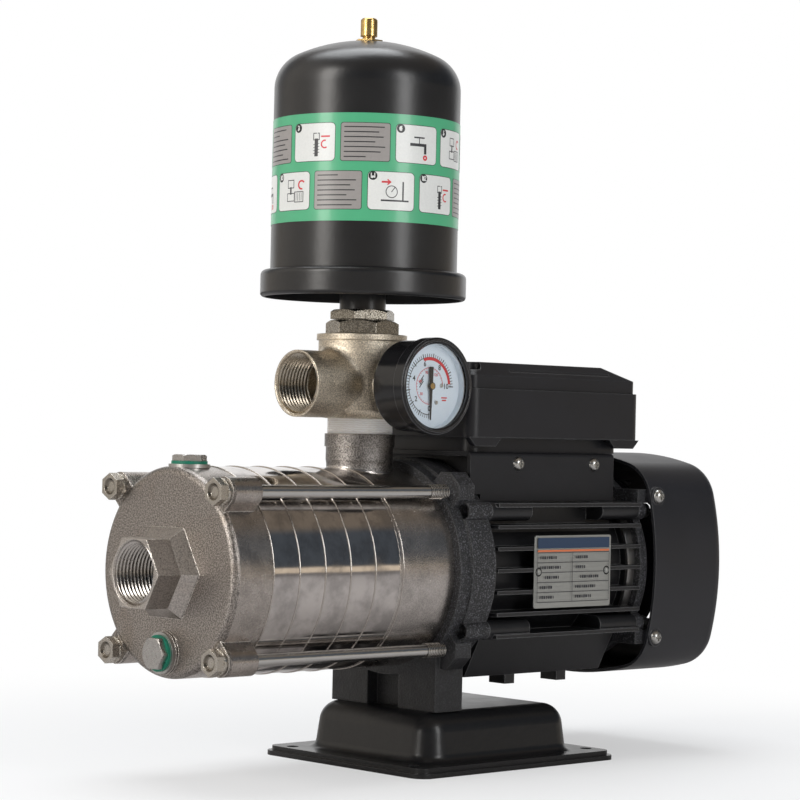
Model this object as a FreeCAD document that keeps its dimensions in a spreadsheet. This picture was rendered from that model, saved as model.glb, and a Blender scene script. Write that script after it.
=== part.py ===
import FreeCAD, Part
import math
import operator
import os
import Sketcher

# Horizontal multistage booster pump with a small pressure tank.
# Millimetres. X runs along the shaft from the suction side to the fan, Z is up,
# and the origin is the centre of the stand's underside.

STAGES = 5
IMPELLER_VANES = 6
DIFFUSER_VANES = 7
FAN_BLADES = 7
FIN_COUNT = 7
BALL_COUNT = 8
STATOR_SLOTS = 12

# Driving dimensions: the name of the cell, its value, and what it measures
DRIVING = (
    ("shaft_height", 110.3, "shaft axis above the floor"),
    ("cover_front", -203.6, "front face of the suction cover, from the origin"),
    ("fit_gap", 0.05, "radial clearance of a close fit"),
    ("seat_gap", 0.15, "radial clearance between parts that only locate each other"),
    ("run_gap", 0.35, "clearance between moving and fixed parts"),

    ("casing_radius", 55.7, "outside of the stage rings and casings"),
    ("stage_pitch", 17.94, "length of one stage"),
    ("ring_wall", 1.8, "wall of a stage ring"),
    ("spigot_length", 2.5, "spigot of a ring inside the next one"),
    ("spigot_wall", 1.2, "wall of the spigot"),
    ("ring_step", 4.0, "thick rear band of a ring ahead of its spigot"),
    ("cord_radius", 0.85, "half the section of a casing O-ring"),

    ("cover_length", 26.0, "suction cover, front face to the first joint"),
    ("cover_edge", 4.0, "rounded front edge of the cover"),
    ("cover_wall", 4.0, "walls of the suction cover"),
    ("tie_offset", 43.6, "tie bolts from the shaft axis, sideways and up"),
    ("ear_radius", 7.8, "round end of a cover ear"),
    ("ear_length", 19.8, "cover ear along the bolt"),
    ("ear_setback", 1.2, "cover ear behind the front face"),
    ("inlet_length", 21.9, "inlet boss ahead of the cover"),
    ("inlet_corner", 20.8, "inlet hexagon, centre to corner"),
    ("inlet_skirt_corner", 27.3, "flared foot of the inlet hexagon, centre to corner"),
    ("inlet_skirt_length", 6.8, "flared foot of the inlet hexagon along the axis"),
    ("port_radius", 16.62, "bore of the one inch pipe threads at the thread's root"),
    ("port_chamfer", 1.0, "chamfer at the mouth of a threaded port"),
    ("plug_setback", 13.5, "filler plug behind the cover's front face"),
    ("plug_drop", 42.0, "drain plug below the shaft axis"),
    ("plug_seat", 11.6, "flat seat of a plug, radius"),
    ("filler_seat_cut", 0.9, "flat seat of the filler plug below the cover's outside"),
    ("plug_thread", 6.5, "radius of a plug's thread"),
    ("plug_reach", 8.0, "thread of a plug inside the wall"),
    ("plug_head_flats", 16.0, "head of a plug across its flats"),
    ("plug_head_height", 3.4, "head of a plug"),
    ("seal_ring_radius", 11.0, "metal ring of a plug's seal"),
    ("seal_ring_height", 2.0, "metal ring of a plug's seal along its axis"),
    ("seal_lip_radius", 9.6, "rubber of a plug's seal"),
    ("seal_lip_height", 1.6, "rubber of a plug's seal under the head"),
    ("plug_boss", 10.0, "boss inside the cover that takes a plug"),
    ("plug_boss_depth", 6.0, "boss that takes a plug, inside the wall"),
    ("drain_boss_height", 1.5, "raised seat of the drain plug on the front face"),

    ("tie_radius", 3.55, "tie bolt shank"),
    ("tie_head_flats", 12.6, "tie bolt head across its flats"),
    ("tie_head_height", 5.0, "tie bolt head"),
    ("tie_head_dish", 1.4, "dished face of the tie bolt head"),
    ("tie_washer_radius", 7.0, "tie bolt washer"),
    ("tie_washer_height", 2.0, "tie bolt washer thickness"),
    ("tie_engagement", 9.0, "tie bolt thread inside the bracket ear"),

    ("discharge_length", 41.2, "discharge casing along the shaft"),
    ("discharge_wall", 3.0, "wall of the discharge casing"),
    ("discharge_back", 6.5, "rear wall of the discharge casing"),
    ("outlet_setback", 19.1, "outlet axis behind the last ring"),
    ("outlet_radius", 18.8, "outlet stub"),
    ("outlet_collar_radius", 19.6, "collar at the top of the outlet stub"),
    ("outlet_collar_height", 7.3, "collar at the top of the outlet stub"),
    ("outlet_top", 74.5, "top of the outlet stub above the shaft axis"),
    ("outlet_root_radius", 19.0, "flared foot of the outlet stub"),
    ("outlet_root_top", 60.0, "top of the flared foot above the shaft axis"),
    ("outlet_root_bottom", 53.0, "start of the flare above the shaft axis"),
    ("outlet_root_bow", 12.0, "hollow of the flared foot"),
    ("outlet_bore_floor", 40.0, "outlet bore ends this far above the shaft axis"),

    ("impeller_radius", 43.0, "impeller rim"),
    ("hub_radius", 13.0, "impeller hub"),
    ("eye_radius", 20.0, "impeller eye"),
    ("eye_lip", 1.5, "wall of the impeller's eye ring"),
    ("shroud", 1.2, "impeller shroud thickness"),
    ("impeller_width", 7.0, "impeller over both shrouds"),
    ("impeller_offset", 6.5, "impeller front behind its stage's front joint"),
    ("vane_thick", 1.6, "vane thickness"),
    ("diffuser_plate", 1.5, "plate of a diffuser"),
    ("diffuser_sleeve", 1.4, "sleeve of a diffuser"),
    ("return_vane_height", 6.6, "return vanes of a diffuser"),
    ("return_vane_radius", 48.0, "return vanes, outer end"),
    ("return_vane_bow", 60.0, "curve of a return vane"),
    ("impeller_bow", 40.0, "curve of an impeller vane"),

    ("pump_shaft_radius", 7.0, "shaft under the impellers"),
    ("bearing_bore", 8.5, "shaft radius in the bearings"),
    ("bearing_radius", 20.0, "bearing outer ring, radius"),
    ("bearing_width", 12.0, "bearing width"),
    ("bearing_inner", 12.3, "outside of the inner ring, radius"),
    ("bearing_outer", 16.2, "inside of the outer ring, radius"),
    ("ball_radius", 3.35, "bearing ball"),
    ("cage_width", 2.4, "bearing cage"),
    ("cage_wall", 1.2, "bearing cage, half its height"),
    ("nut_flats", 19.0, "impeller nut across its flats"),
    ("nut_length", 8.0, "impeller nut"),
    ("shaft_nose", 2.5, "shaft ahead of the impeller nut"),
    ("shaft_bore", 11.0, "shaft hole through the casing wall and the bracket"),

    ("seal_head_radius", 14.5, "rotating ring of the shaft seal"),
    ("seal_head_length", 9.0, "rotating ring of the shaft seal"),
    ("seal_spring_radius", 12.6, "spring sleeve of the shaft seal"),
    ("seal_fold", 1.6, "depth of the folds of the spring sleeve"),
    ("seal_seat_radius", 16.0, "stationary ring of the shaft seal"),
    ("seal_seat_length", 6.0, "stationary ring of the shaft seal"),
    ("seal_seat_proud", 3.0, "stationary ring ahead of the rear wall"),
    ("seal_seat_clearance", 1.5, "stationary ring round the shaft"),
    ("shaft_shoulder", 3.0, "shaft shoulder"),

    ("bracket_length", 26.1, "bracket along the shaft"),
    ("bracket_flange", 8.0, "front flange of the bracket"),
    ("bracket_flange_radius", 60.5, "front flange of the bracket"),
    ("bracket_radius", 62.0, "barrel of the bracket"),
    ("bracket_wall", 5.0, "walls of the bracket"),
    ("bracket_ear_setback", 3.1, "bracket ear behind the bracket's front"),
    ("bracket_ear_length", 12.0, "bracket ear along the bolt"),
    ("bracket_ear_width", 21.0, "bracket ear across"),
    ("bracket_ear_reach", 10.5, "bracket ear beyond its bolt"),
    ("bracket_ear_chamfer", 5.5, "cut corners of a bracket ear"),
    ("bracket_web", 4.0, "wall of the bracket ahead of the bearing"),
    ("bearing_boss_wall", 4.0, "wall round the bearing seats"),
    ("foot_length", 21.0, "foot along the shaft"),
    ("foot_half_width", 42.4, "foot, centre to its side"),
    ("foot_block_width", 29.5, "one block of the foot"),
    ("foot_recess", 8.0, "recess between the blocks of the foot"),
    ("gusset_drop", 9.0, "slanted rib between the foot and the barrel"),
    ("foot_bolt_radius", 4.0, "foot bolt"),
    ("foot_bolt_reach", 14.0, "foot bolt inside the foot"),
    ("foot_bolt_flats", 13.0, "foot bolt head across its flats"),
    ("foot_bolt_head", 5.3, "foot bolt head"),
    ("foot_washer_radius", 7.5, "foot bolt washer"),
    ("foot_washer_height", 1.6, "foot bolt washer thickness"),

    ("motor_screw_y", 53.0, "motor screws from the shaft axis, sideways"),
    ("motor_screw_z", 33.0, "motor screws from the shaft axis, up and down"),
    ("motor_screw_radius", 2.5, "motor screw"),
    ("motor_screw_length", 22.0, "motor screw under its head"),
    ("motor_screw_head", 4.2, "radius of the motor screw's head"),
    ("motor_screw_head_height", 5.0, "head of the motor screw"),
    ("motor_screw_key", 2.4, "hexagon socket of the motor screw, centre to corner"),
    ("screw_recess", 12.0, "recess for the motor screw's head"),
    ("screw_lug_radius", 5.4, "lug round a motor screw"),
    ("screw_rib_length", 32.0, "rib of the motor housing that takes a screw"),

    ("housing_length", 123.0, "motor housing along the shaft"),
    ("housing_bore", 46.0, "bore of the motor housing"),
    ("housing_wall", 3.6, "shell of the motor housing"),
    ("fin_tip", 60.0, "tips of the cooling fins from the shaft axis"),
    ("fin_pitch", 12.2, "spacing of the cooling fins"),
    ("fin_thick", 2.2, "cooling fin"),
    ("fin_setback", 3.5, "fins from the front end of the housing"),
    ("collar_radius", 55.6, "machined rear end of the housing"),
    ("collar_length", 6.0, "machined rear end of the housing"),
    ("pad_half_width", 45.0, "flat top of the housing, centre to side"),
    ("pad_top", 63.5, "flat top of the housing above the shaft axis"),
    ("pad_front", 4.0, "flat top from the front end of the housing"),
    ("pad_length", 107.0, "flat top along the shaft"),
    ("cable_way_length", 34.0, "opening for the motor leads"),
    ("cable_way_width", 22.0, "opening for the motor leads"),
    ("panel_half_width", 47.0, "smooth lower panels of the housing, centre to side"),
    ("panel_bottom", 61.0, "lower panels below the shaft axis"),
    ("panel_wall", 3.0, "thickness of a lower panel"),
    ("panel_slope", 12.0, "slope of the lower panels, across"),
    ("panel_length", 112.0, "smooth lower panels along the shaft"),
    ("lug_length", 7.8, "small lug under the housing"),
    ("lug_bottom", 66.3, "lugs under the housing below the shaft axis"),
    ("lug_width", 12.6, "small lug under the housing, across"),
    ("lug_first", 36.5, "first lug from the front end of the housing"),
    ("lug_spacing", 43.0, "spacing of the lugs"),

    ("stack_start", 22.0, "stator stack behind the front end of the housing"),
    ("stack_length", 78.0, "stator and rotor stacks"),
    ("rotor_radius", 27.0, "rotor stack"),
    ("air_gap", 0.4, "air gap between rotor and stator"),
    ("slot_inner", 29.0, "stator slots, inner radius"),
    ("slot_outer", 39.0, "stator slots, outer radius"),
    ("slot_width", 7.0, "stator slot"),
    ("winding_end", 12.0, "end turns beyond the stator stack"),
    ("rotor_end", 4.0, "end ring of the rotor"),
    ("motor_shaft_radius", 10.0, "shaft through the rotor stack"),

    ("endshield_plate", 6.0, "plate of the rear end shield"),
    ("endshield_radius", 60.0, "rear end shield"),
    ("endshield_lip", 6.0, "machined rim of the rear end shield inside the housing"),
    ("endshield_back", 2.5, "wall behind the rear bearing"),
    ("arm_gap", 0.2, "gap between an arm and the fan cover"),
    ("arm_tip", 57.0, "arms of the end shield from the shaft axis"),
    ("arm_wall", 3.0, "finger of an arm"),
    ("arm_width", 8.0, "arm that holds the fan cover"),

    ("fan_radius", 53.0, "cooling fan"),
    ("fan_width", 17.0, "cooling fan blades"),
    ("fan_hub_radius", 13.0, "hub of the cooling fan"),
    ("fan_disc", 2.0, "disc of the cooling fan"),
    ("fan_start", 25.0, "fan behind the rear end of the housing"),
    ("fan_shaft_radius", 6.0, "shaft in the fan"),

    ("cover_rim", 6.5, "fan cover rim behind the rear end of the housing"),
    ("fan_cover_length", 64.5, "fan cover along the shaft"),
    ("fan_cover_half", 66.5, "fan cover, centre to its bulged sides"),
    ("fan_cover_corner", 25.0, "corner radius of the fan cover"),
    ("fan_cover_side", 170.0, "radius of the fan cover's bulged sides"),
    ("fan_cover_wall", 1.8, "wall of the fan cover"),
    ("fan_cover_round", 10.0, "rounded rear edge of the fan cover"),
    ("grille_slot_width", 4.0, "slot of the rear grille"),
    ("grille_pitch", 8.5, "spacing of the slots of the rear grille"),
    ("grille_radius", 42.0, "rear grille"),
    ("cover_screw_x", 5.6, "fan cover screws behind the cover's rim"),
    ("cover_screw_z", 41.5, "fan cover screws above and below the shaft axis"),
    ("cover_boss_radius", 5.5, "flat seat of a fan cover screw"),
    ("cover_boss_face", 62.6, "seats of the fan cover screws from the shaft axis"),
    ("pan_radius", 4.1, "radius of a cross recess screw's head"),
    ("pan_height", 2.4, "head of a cross recess screw"),
    ("pan_shank", 2.0, "cross recess screw"),
    ("pan_length", 9.0, "cross recess screw under its head"),
    ("pan_slot", 1.2, "cross recess"),
    ("pan_crown", 3.4, "crown of a cross recess screw"),

    ("saddle_half_width", 48.0, "saddle under the terminal box, centre to side"),
    ("saddle_wall", 2.5, "walls of the saddle"),
    ("saddle_bottom", 38.6, "lower edge of the saddle above the shaft axis"),
    ("saddle_front", -8.0, "saddle from the front end of the housing"),
    ("saddle_length", 119.0, "saddle along the shaft"),
    ("saddle_screw_z", 59.5, "saddle screws above the shaft axis"),
    ("saddle_screw_first", 30.2, "first saddle screw from the front end of the housing"),
    ("saddle_screw_spacing", 63.5, "spacing of the saddle screws"),

    ("box_front", -10.2, "terminal box from the front end of the housing"),
    ("box_length", 142.2, "terminal box along the shaft"),
    ("box_half_width", 50.0, "terminal box, centre to side"),
    ("box_bottom", 74.2, "terminal box bottom above the shaft axis"),
    ("box_height", 27.3, "terminal box body"),
    ("box_wall", 2.4, "walls of the terminal box"),
    ("box_corner", 7.0, "vertical corners of the terminal box"),
    ("neck_inset", 9.0, "neck of the terminal box inside its sides"),
    ("tab_length", 26.0, "tab under the edge of the terminal box"),
    ("tab_height", 5.0, "tab under the edge of the terminal box"),
    ("tab_width", 5.0, "tab under the edge of the terminal box, across"),
    ("lid_inset", 2.0, "lid inside the sides of the box"),
    ("lid_height", 15.0, "lid above the box"),
    ("lid_band", 7.5, "upright band of the lid"),
    ("lid_slope", 6.0, "sloped sides of the lid, across"),
    ("lid_end_slope", 22.0, "sloped end of the lid, along"),
    ("lid_lip", 3.0, "lip of the lid inside the box"),
    ("lid_groove_length", 84.0, "long groove in the sloped side of the lid"),
    ("lid_groove_width", 2.6, "long groove in the sloped side of the lid"),
    ("lid_screw_inset", 9.0, "lid screws from the ends and sides of the lid"),
    ("lid_seat", 5.0, "seat of the lid screws above the box"),
    ("post_radius", 4.5, "posts that take the lid screws"),
    ("gland_radius", 9.5, "cable gland"),
    ("gland_bore", 4.5, "cable gland's bore"),
    ("gland_thread", 7.9, "cable gland's thread"),
    ("gland_nut", 4.0, "cable gland's nut inside the box"),
    ("gland_length", 20.0, "cable gland outside the box"),
    ("gland_flats", 19.0, "cable gland's hexagon across its flats"),
    ("gland_setback", 26.0, "cable gland from the rear end of the box"),
    ("block_length", 46.0, "terminal block"),
    ("block_width", 20.0, "terminal block across"),
    ("block_height", 15.0, "terminal block height"),
    ("block_setback", 30.0, "terminal block behind the front end of the box"),
    ("block_offset", 24.0, "terminal block from the middle of the box"),
    ("capacitor_radius", 15.5, "run capacitor"),
    ("capacitor_length", 72.0, "run capacitor"),
    ("capacitor_setback", 24.0, "run capacitor behind the front end of the box"),
    ("capacitor_offset", 27.0, "run capacitor from the middle of the box"),

    ("plate_start", 32.0, "nameplate from the front end of the housing"),
    ("plate_length", 64.0, "nameplate"),
    ("plate_height", 41.0, "nameplate"),
    ("plate_thick", 0.6, "nameplate"),
    ("plate_corner", 1.5, "corner radius of the nameplate"),
    ("plate_drop", 1.1, "middle of the nameplate below the shaft axis"),
    ("rivet_radius", 1.9, "nameplate rivet head"),
    ("rivet_shank", 1.2, "nameplate rivet"),
    ("rivet_crown", 2.4, "crown of a rivet"),
    ("rivet_height", 1.0, "rivet head"),
    ("rivet_inset", 3.6, "nameplate rivet from the plate's end"),

    ("fitting_radius", 24.2, "body of the five-way fitting"),
    ("fitting_bottom", 83.0, "body of the five-way fitting above the shaft axis"),
    ("fitting_height", 46.9, "body of the five-way fitting"),
    ("fitting_rim_radius", 25.3, "rim at the top of the fitting"),
    ("fitting_rim_height", 3.4, "rim at the top of the fitting"),
    ("fitting_bore", 17.5, "chamber of the fitting"),
    ("fitting_wall", 4.0, "floor of the fitting"),
    ("fitting_round", 5.0, "rounded lower edge of the fitting"),
    ("nipple_radius", 16.4, "lower thread of the fitting"),
    ("nipple_bore", 12.5, "bore of the lower thread"),
    ("nipple_reach", 12.0, "lower thread inside the outlet stub"),
    ("side_port_z", 101.5, "side outlet above the shaft axis"),
    ("side_port_radius", 18.4, "side outlet"),
    ("side_port_reach", 47.9, "side outlet's mouth from the fitting's axis"),
    ("side_thread_depth", 21.0, "thread of the side outlet from its mouth"),
    ("side_bore", 14.6, "bore of the side outlet behind its thread"),
    ("side_port_round", 5.0, "blend between the side outlet and the body"),
    ("gauge_boss_radius", 11.0, "small side bosses of the fitting"),
    ("gauge_boss_reach", 29.0, "small side bosses from the fitting's axis"),
    ("gauge_thread", 6.5, "quarter inch pipe thread at its root"),
    ("tape_radius", 18.2, "wound thread tape"),

    ("bushing_flats", 35.8, "lower hexagon under the tank across its flats"),
    ("bushing_height", 7.4, "lower hexagon under the tank"),
    ("bushing_reach", 10.0, "thread of the bushing inside the fitting"),
    ("bushing_gap", 0.4, "recess line between the fitting and the bushing"),
    ("tank_nut_flats", 32.3, "upper hexagon under the tank across its flats"),
    ("tank_nut_height", 5.4, "upper hexagon under the tank"),
    ("tank_nut_gap", 0.6, "recess line between the two hexagons"),
    ("tank_nut_collar", 2.2, "collar of the upper hexagon"),
    ("bushing_angle", 9.3, "turn of the lower hexagon under the tank"),
    ("tank_nut_angle", 34.0, "turn of the upper hexagon under the tank"),
    ("hexagon_cut", 30.0, "slope of the cut corners of the hexagons, in degrees"),
    ("neck_radius", 12.95, "tank neck"),
    ("neck_bore", 9.0, "bore of the tank neck"),
    ("tank_rim_bottom", 150.0, "lower edge of the tank's base above the shaft axis"),
    ("tank_rim_height", 15.0, "skirt of the tank's base"),
    ("tank_rim_radius", 57.6, "skirt of the tank's base"),
    ("tank_rim_round", 3.0, "rounded upper edge of the skirt"),
    ("tank_rim_edge", 2.0, "rounded lower edge of the skirt"),
    ("tank_rim_wall", 2.6, "rolled wall of the skirt"),
    ("tank_radius", 52.3, "tank shell"),
    ("tank_top", 294.3, "top of the tank above the shaft axis"),
    ("tank_shoulder", 20.5, "rounded shoulder of the tank"),
    ("tank_crown", 95.0, "radius of the tank's crown"),
    ("tank_wall", 1.5, "tank wall"),
    ("diaphragm_radius", 45.0, "rubber diaphragm"),
    ("diaphragm_wall", 2.0, "rubber diaphragm"),
    ("diaphragm_height", 78.0, "rubber diaphragm above the tank's base"),
    ("diaphragm_round", 18.0, "rounded top of the diaphragm"),
    ("diaphragm_lip", 50.0, "clamped lip of the diaphragm"),
    ("label_bottom", 189.7, "lower edge of the label above the shaft axis"),
    ("label_height", 58.6, "label round the tank"),
    ("label_thick", 0.2, "label film"),
    ("label_gap", 0.02, "adhesive under the label"),
    ("stem_radius", 3.45, "air valve stem"),
    ("stem_height", 7.2, "air valve stem above the tank"),
    ("stem_bore", 1.6, "bore of the air valve"),
    ("crown_drop", 0.4, "fall of the crown at the valve's foot"),
    ("stem_foot_radius", 7.0, "foot of the air valve inside the tank"),
    ("stem_foot_height", 2.5, "foot of the air valve inside the tank"),
    ("stem_washer_radius", 8.1, "washer of the air valve"),
    ("stem_washer_height", 1.0, "washer of the air valve"),
    ("cap_radius", 4.75, "cap of the air valve"),
    ("cap_height", 10.2, "cap of the air valve"),
    ("cap_cover", 4.0, "length of the stem covered by its cap"),
    ("cap_round", 1.6, "rounded top of the cap"),
    ("cap_crown_wall", 1.6, "end wall of the cap"),
    ("pin_radius", 0.9, "pin of the valve core"),
    ("pin_travel", 1.2, "travel of the valve core's pin"),

    ("gauge_case_radius", 25.0, "gauge case"),
    ("gauge_back", 35.6, "back of the gauge from the fitting's axis"),
    ("gauge_case_depth", 23.1, "gauge case behind its bezel"),
    ("gauge_wall", 1.5, "gauge case wall"),
    ("case_edge", 2.5, "rounded back edge of the gauge"),
    ("bezel_radius", 26.4, "gauge bezel"),
    ("bezel_depth", 7.8, "gauge bezel"),
    ("bezel_window", 23.0, "window of the bezel"),
    ("bezel_overlap", 4.2, "bezel over the case"),
    ("bezel_edge", 1.2, "rounded front edge of the bezel"),
    ("glass_thick", 1.6, "gauge window"),
    ("dial_thick", 0.8, "gauge dial"),
    ("dial_wall", 0.8, "upright rim of the dial"),
    ("dial_inset", 3.5, "face of the dial behind the window"),
    ("dial_post", 19.0, "dial posts from the middle"),
    ("dial_post_radius", 1.5, "dial posts"),
    ("needle_length", 18.5, "gauge needle from its hub"),
    ("needle_tail", 10.5, "gauge needle's counterweight from its hub"),
    ("needle_thick", 0.6, "gauge needle"),
    ("needle_hub", 2.0, "hub of the needle"),
    ("needle_hub_height", 1.6, "hub of the needle"),
    ("needle_lift", 1.0, "needle in front of the dial"),
    ("spindle_radius", 0.8, "spindle of the needle"),
    ("spindle_start", 4.0, "inner end of the spindle from the gauge's back"),
    ("tube_radius", 13.0, "pressure tube of the gauge"),
    ("tube_section", 2.2, "section of the pressure tube"),
    ("tube_setback", 8.0, "pressure tube from the gauge's back"),
    ("socket_flats", 14.0, "gauge connection across its flats"),
    ("socket_bore", 2.0, "pressure passage"),
    ("gauge_thread_reach", 9.0, "gauge thread inside the fitting"),

    ("switch_radius", 13.0, "pressure switch"),
    ("switch_length", 14.0, "pressure switch body"),
    ("switch_neck", 3.0, "neck of the pressure switch"),
    ("switch_cap_length", 7.0, "terminal cap of the pressure switch"),
    ("switch_cap_radius", 10.0, "terminal cap of the pressure switch"),
    ("switch_cap_edge", 2.0, "rounded edge of the terminal cap"),

    ("stand_length", 158.0, "stand"),
    ("stand_width", 132.6, "stand"),
    ("stand_corner", 9.0, "corner radius of the stand's flange"),
    ("stand_lip", 2.6, "outer lip of the stand"),
    ("stand_lip_width", 2.6, "outer lip of the stand, across"),
    ("stand_flange", 5.2, "height of the stand's flange"),
    ("pedestal_length", 119.0, "raised middle of the stand at its foot"),
    ("pedestal_width", 102.0, "raised middle of the stand at its foot"),
    ("pedestal_corner", 15.0, "corner radius of the raised middle"),
    ("pedestal_height", 31.8, "raised middle of the stand above the floor"),
    ("pedestal_draft", 8.0, "slope of the raised middle's sides"),
    ("pedestal_round", 12.0, "rounded top edge of the raised middle"),
    ("pedestal_flare", 5.0, "hollow foot of the raised middle"),
    ("sheet_wall", 2.0, "sheet metal of the stand"),
    ("stand_hole_radius", 3.5, "fixing holes of the stand"),
    ("stand_hole_inset", 9.6, "fixing holes from the ends of the stand"),
    ("stand_pad_radius", 7.0, "pads on the floor round the fixing holes"),
    ("stand_hole_spacing", 100.0, "fixing holes across the stand"),
)


class Size:
    """A number together with the sheet expression that gives it."""

    def __init__(self, value, text):
        self.value = value
        self.text = text

    def joined(self, other, sign, rule):
        other = as_size(other)
        return Size(rule(self.value, other.value), f"({self.text} {sign} {other.text})")

    def __add__(self, other):
        return self.joined(other, "+", operator.add)

    def __radd__(self, other):
        return as_size(other) + self

    def __sub__(self, other):
        return self.joined(other, "-", operator.sub)

    def __rsub__(self, other):
        return as_size(other) - self

    def __mul__(self, other):
        return self.joined(other, "*", operator.mul)

    def __rmul__(self, other):
        return as_size(other) * self

    def __truediv__(self, other):
        return self.joined(other, "/", operator.truediv)

    def __neg__(self):
        return as_size(0) - self


def as_size(value):
    return value if isinstance(value, Size) else Size(float(value), repr(float(value)))


def root(square):
    return Size(math.sqrt(square.value), f"sqrt({square.text})")


def aslant(along, across, degrees, *radius):
    """Sketch point given along and across a direction at an angle."""
    cos, sin = math.cos(math.radians(degrees)), math.sin(math.radians(degrees))
    return (along * cos - across * sin, along * sin + across * cos) + radius


class Sizes:
    """The driving dimensions, read by name from the sheet."""

    def __init__(self, sheet, rows):
        for number, (alias, value, note) in enumerate(rows, start=1):
            sheet.set(f"A{number}", alias)
            sheet.set(f"B{number}", str(value))
            sheet.set(f"C{number}", note)
            sheet.setAlias(f"B{number}", alias)
            setattr(self, alias, Size(float(value), f"Dimensions.{alias}"))


doc = FreeCAD.newDocument("booster_pump")
dimensions = doc.addObject("Spreadsheet::Sheet", "Dimensions")
d = Sizes(dimensions, DRIVING)
doc.recompute()

nodes = []

# Stations along the shaft and up from the floor
ring_start = d.cover_front + d.cover_length
discharge_start = ring_start + d.stage_pitch * STAGES
bracket_front = discharge_start + d.discharge_length
housing_front = bracket_front + d.bracket_length
housing_rear = housing_front + d.housing_length
outlet_x = discharge_start + d.outlet_setback
fitting_base = d.shaft_height + d.fitting_bottom
fitting_top = fitting_base + d.fitting_height
side_port_height = d.shaft_height + d.side_port_z
tank_floor = d.shaft_height + d.tank_rim_bottom + d.tank_rim_height
front_bearing = housing_front - d.bearing_width
rear_bearing = housing_rear + d.endshield_plate
stack_front = housing_front + d.stack_start
foot_bolt_y = d.foot_half_width - d.foot_block_width / 2
joint_depth = d.spigot_length + d.cord_radius * 2
hex_corner = 2 / math.sqrt(3)


# Helpers that every piece uses
def bind(thing, **sizes):
    """Give properties their values and tie them to the sheet."""
    for name, size in sizes.items():
        size = as_size(size)
        setattr(thing, name, size.value)
        if "Dimensions" in size.text:
            thing.setExpression(name, size.text)


def place(thing, x=0, y=0, z=0, axis=None, angle=0):
    """Put a piece at its place, turned about one axis."""
    spot = [as_size(value) for value in (x, y, z)]
    turn = FreeCAD.Rotation(FreeCAD.Vector(*(axis or (0, 0, 1))), angle)
    thing.Placement = FreeCAD.Placement(FreeCAD.Vector(*(size.value for size in spot)), turn)
    for letter, size in zip("xyz", spot):
        if "Dimensions" in size.text:
            thing.setExpression(f"Placement.Base.{letter}", size.text)


def new_body(name, x=0, y=0, z=0, axis=None, angle=0):
    body = doc.addObject("PartDesign::Body", name)
    body.Label = name
    place(body, x, y, z, axis, angle)
    nodes.append(body)
    return body


def origin_part(body, role):
    return [part for part in body.Origin.OriginFeatures if part.Role == role][0]


def sketch(body, plane, lift=0):
    """Empty sketch on one of the body's own planes, moved along its normal."""
    drawing = body.newObject("Sketcher::SketchObject", body.Name + "_sketch")
    drawing.AttachmentSupport = [(origin_part(body, plane), "")]
    drawing.MapMode = "FlatFace"
    lift = as_size(lift)
    drawing.AttachmentOffset = FreeCAD.Placement(FreeCAD.Vector(0, 0, lift.value),
                                                 FreeCAD.Rotation())
    if "Dimensions" in lift.text:
        drawing.setExpression("AttachmentOffset.Base.z", lift.text)
    return drawing


def pin_point(drawing, rules, edge, end, x, y):
    """Collect the rules that hold a point at its sizes."""
    for kind, size in (("DistanceX", as_size(x)), ("DistanceY", as_size(y))):
        rules.append((Sketcher.Constraint(kind, edge, end, size.value), size))


def apply_rules(drawing, rules):
    first = drawing.ConstraintCount
    drawing.addConstraint([rule for rule, size in rules])
    for number, (rule, size) in enumerate(rules, start=first):
        if size is not None and "Dimensions" in size.text:
            drawing.setExpression(f"Constraints[{number}]", size.text)


def arc_edge(start, end, radius):
    """Arc between two points; a positive radius turns left, a negative one right."""
    chord = end - start
    half = chord.Length / 2
    across = FreeCAD.Vector(-chord.y, chord.x, 0).normalize()
    rise = math.sqrt(max(radius * radius - half * half, 0.0))
    centre = start + chord * 0.5 + across * (rise if radius > 0 else -rise)
    angles = [math.atan2(point.y - centre.y, point.x - centre.x) for point in (start, end)]
    if radius < 0:
        angles.reverse()
    circle = Part.Circle(centre, FreeCAD.Vector(0, 0, 1), abs(radius))
    return Part.ArcOfCircle(circle, angles[0], angles[1])


def outline(drawing, points):
    """Closed outline; a third value on a point is the radius of the arc that follows it."""
    first = drawing.GeometryCount
    count = len(points)
    spots = [FreeCAD.Vector(as_size(p[0]).value, as_size(p[1]).value, 0) for p in points]
    edges = []
    for number, point in enumerate(points):
        start, end = spots[number], spots[(number + 1) % count]
        if len(point) == 3:
            edges.append(arc_edge(start, end, as_size(point[2]).value))
        else:
            edges.append(Part.LineSegment(start, end))
    drawing.addGeometry(edges)
    rules = []
    for number, point in enumerate(points):
        following = (number + 1) % count
        right_turn = len(point) == 3 and as_size(point[2]).value < 0
        next_right = len(points[following]) == 3 and as_size(points[following][2]).value < 0
        rules.append((Sketcher.Constraint("Coincident", first + number, 1 if right_turn else 2,
                                          first + following, 2 if next_right else 1), None))
        pin_point(drawing, rules, first + number, 2 if right_turn else 1, point[0], point[1])
        if len(point) == 3:
            radius = as_size(point[2])
            radius = -radius if radius.value < 0 else radius
            chord = spots[following] - spots[number]
            if abs(chord.Length / 2 - radius.value) > 0.001:
                rules.append((Sketcher.Constraint("Radius", first + number, radius.value),
                              radius))
            else:
                kind, axis = ("DistanceX", 0) if abs(chord.y) > abs(chord.x) else ("DistanceY", 1)
                middle = (as_size(point[axis]) + points[following][axis]) / 2
                rules.append((Sketcher.Constraint(kind, first + number, 3, middle.value), middle))
    apply_rules(drawing, rules)
    return drawing


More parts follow.
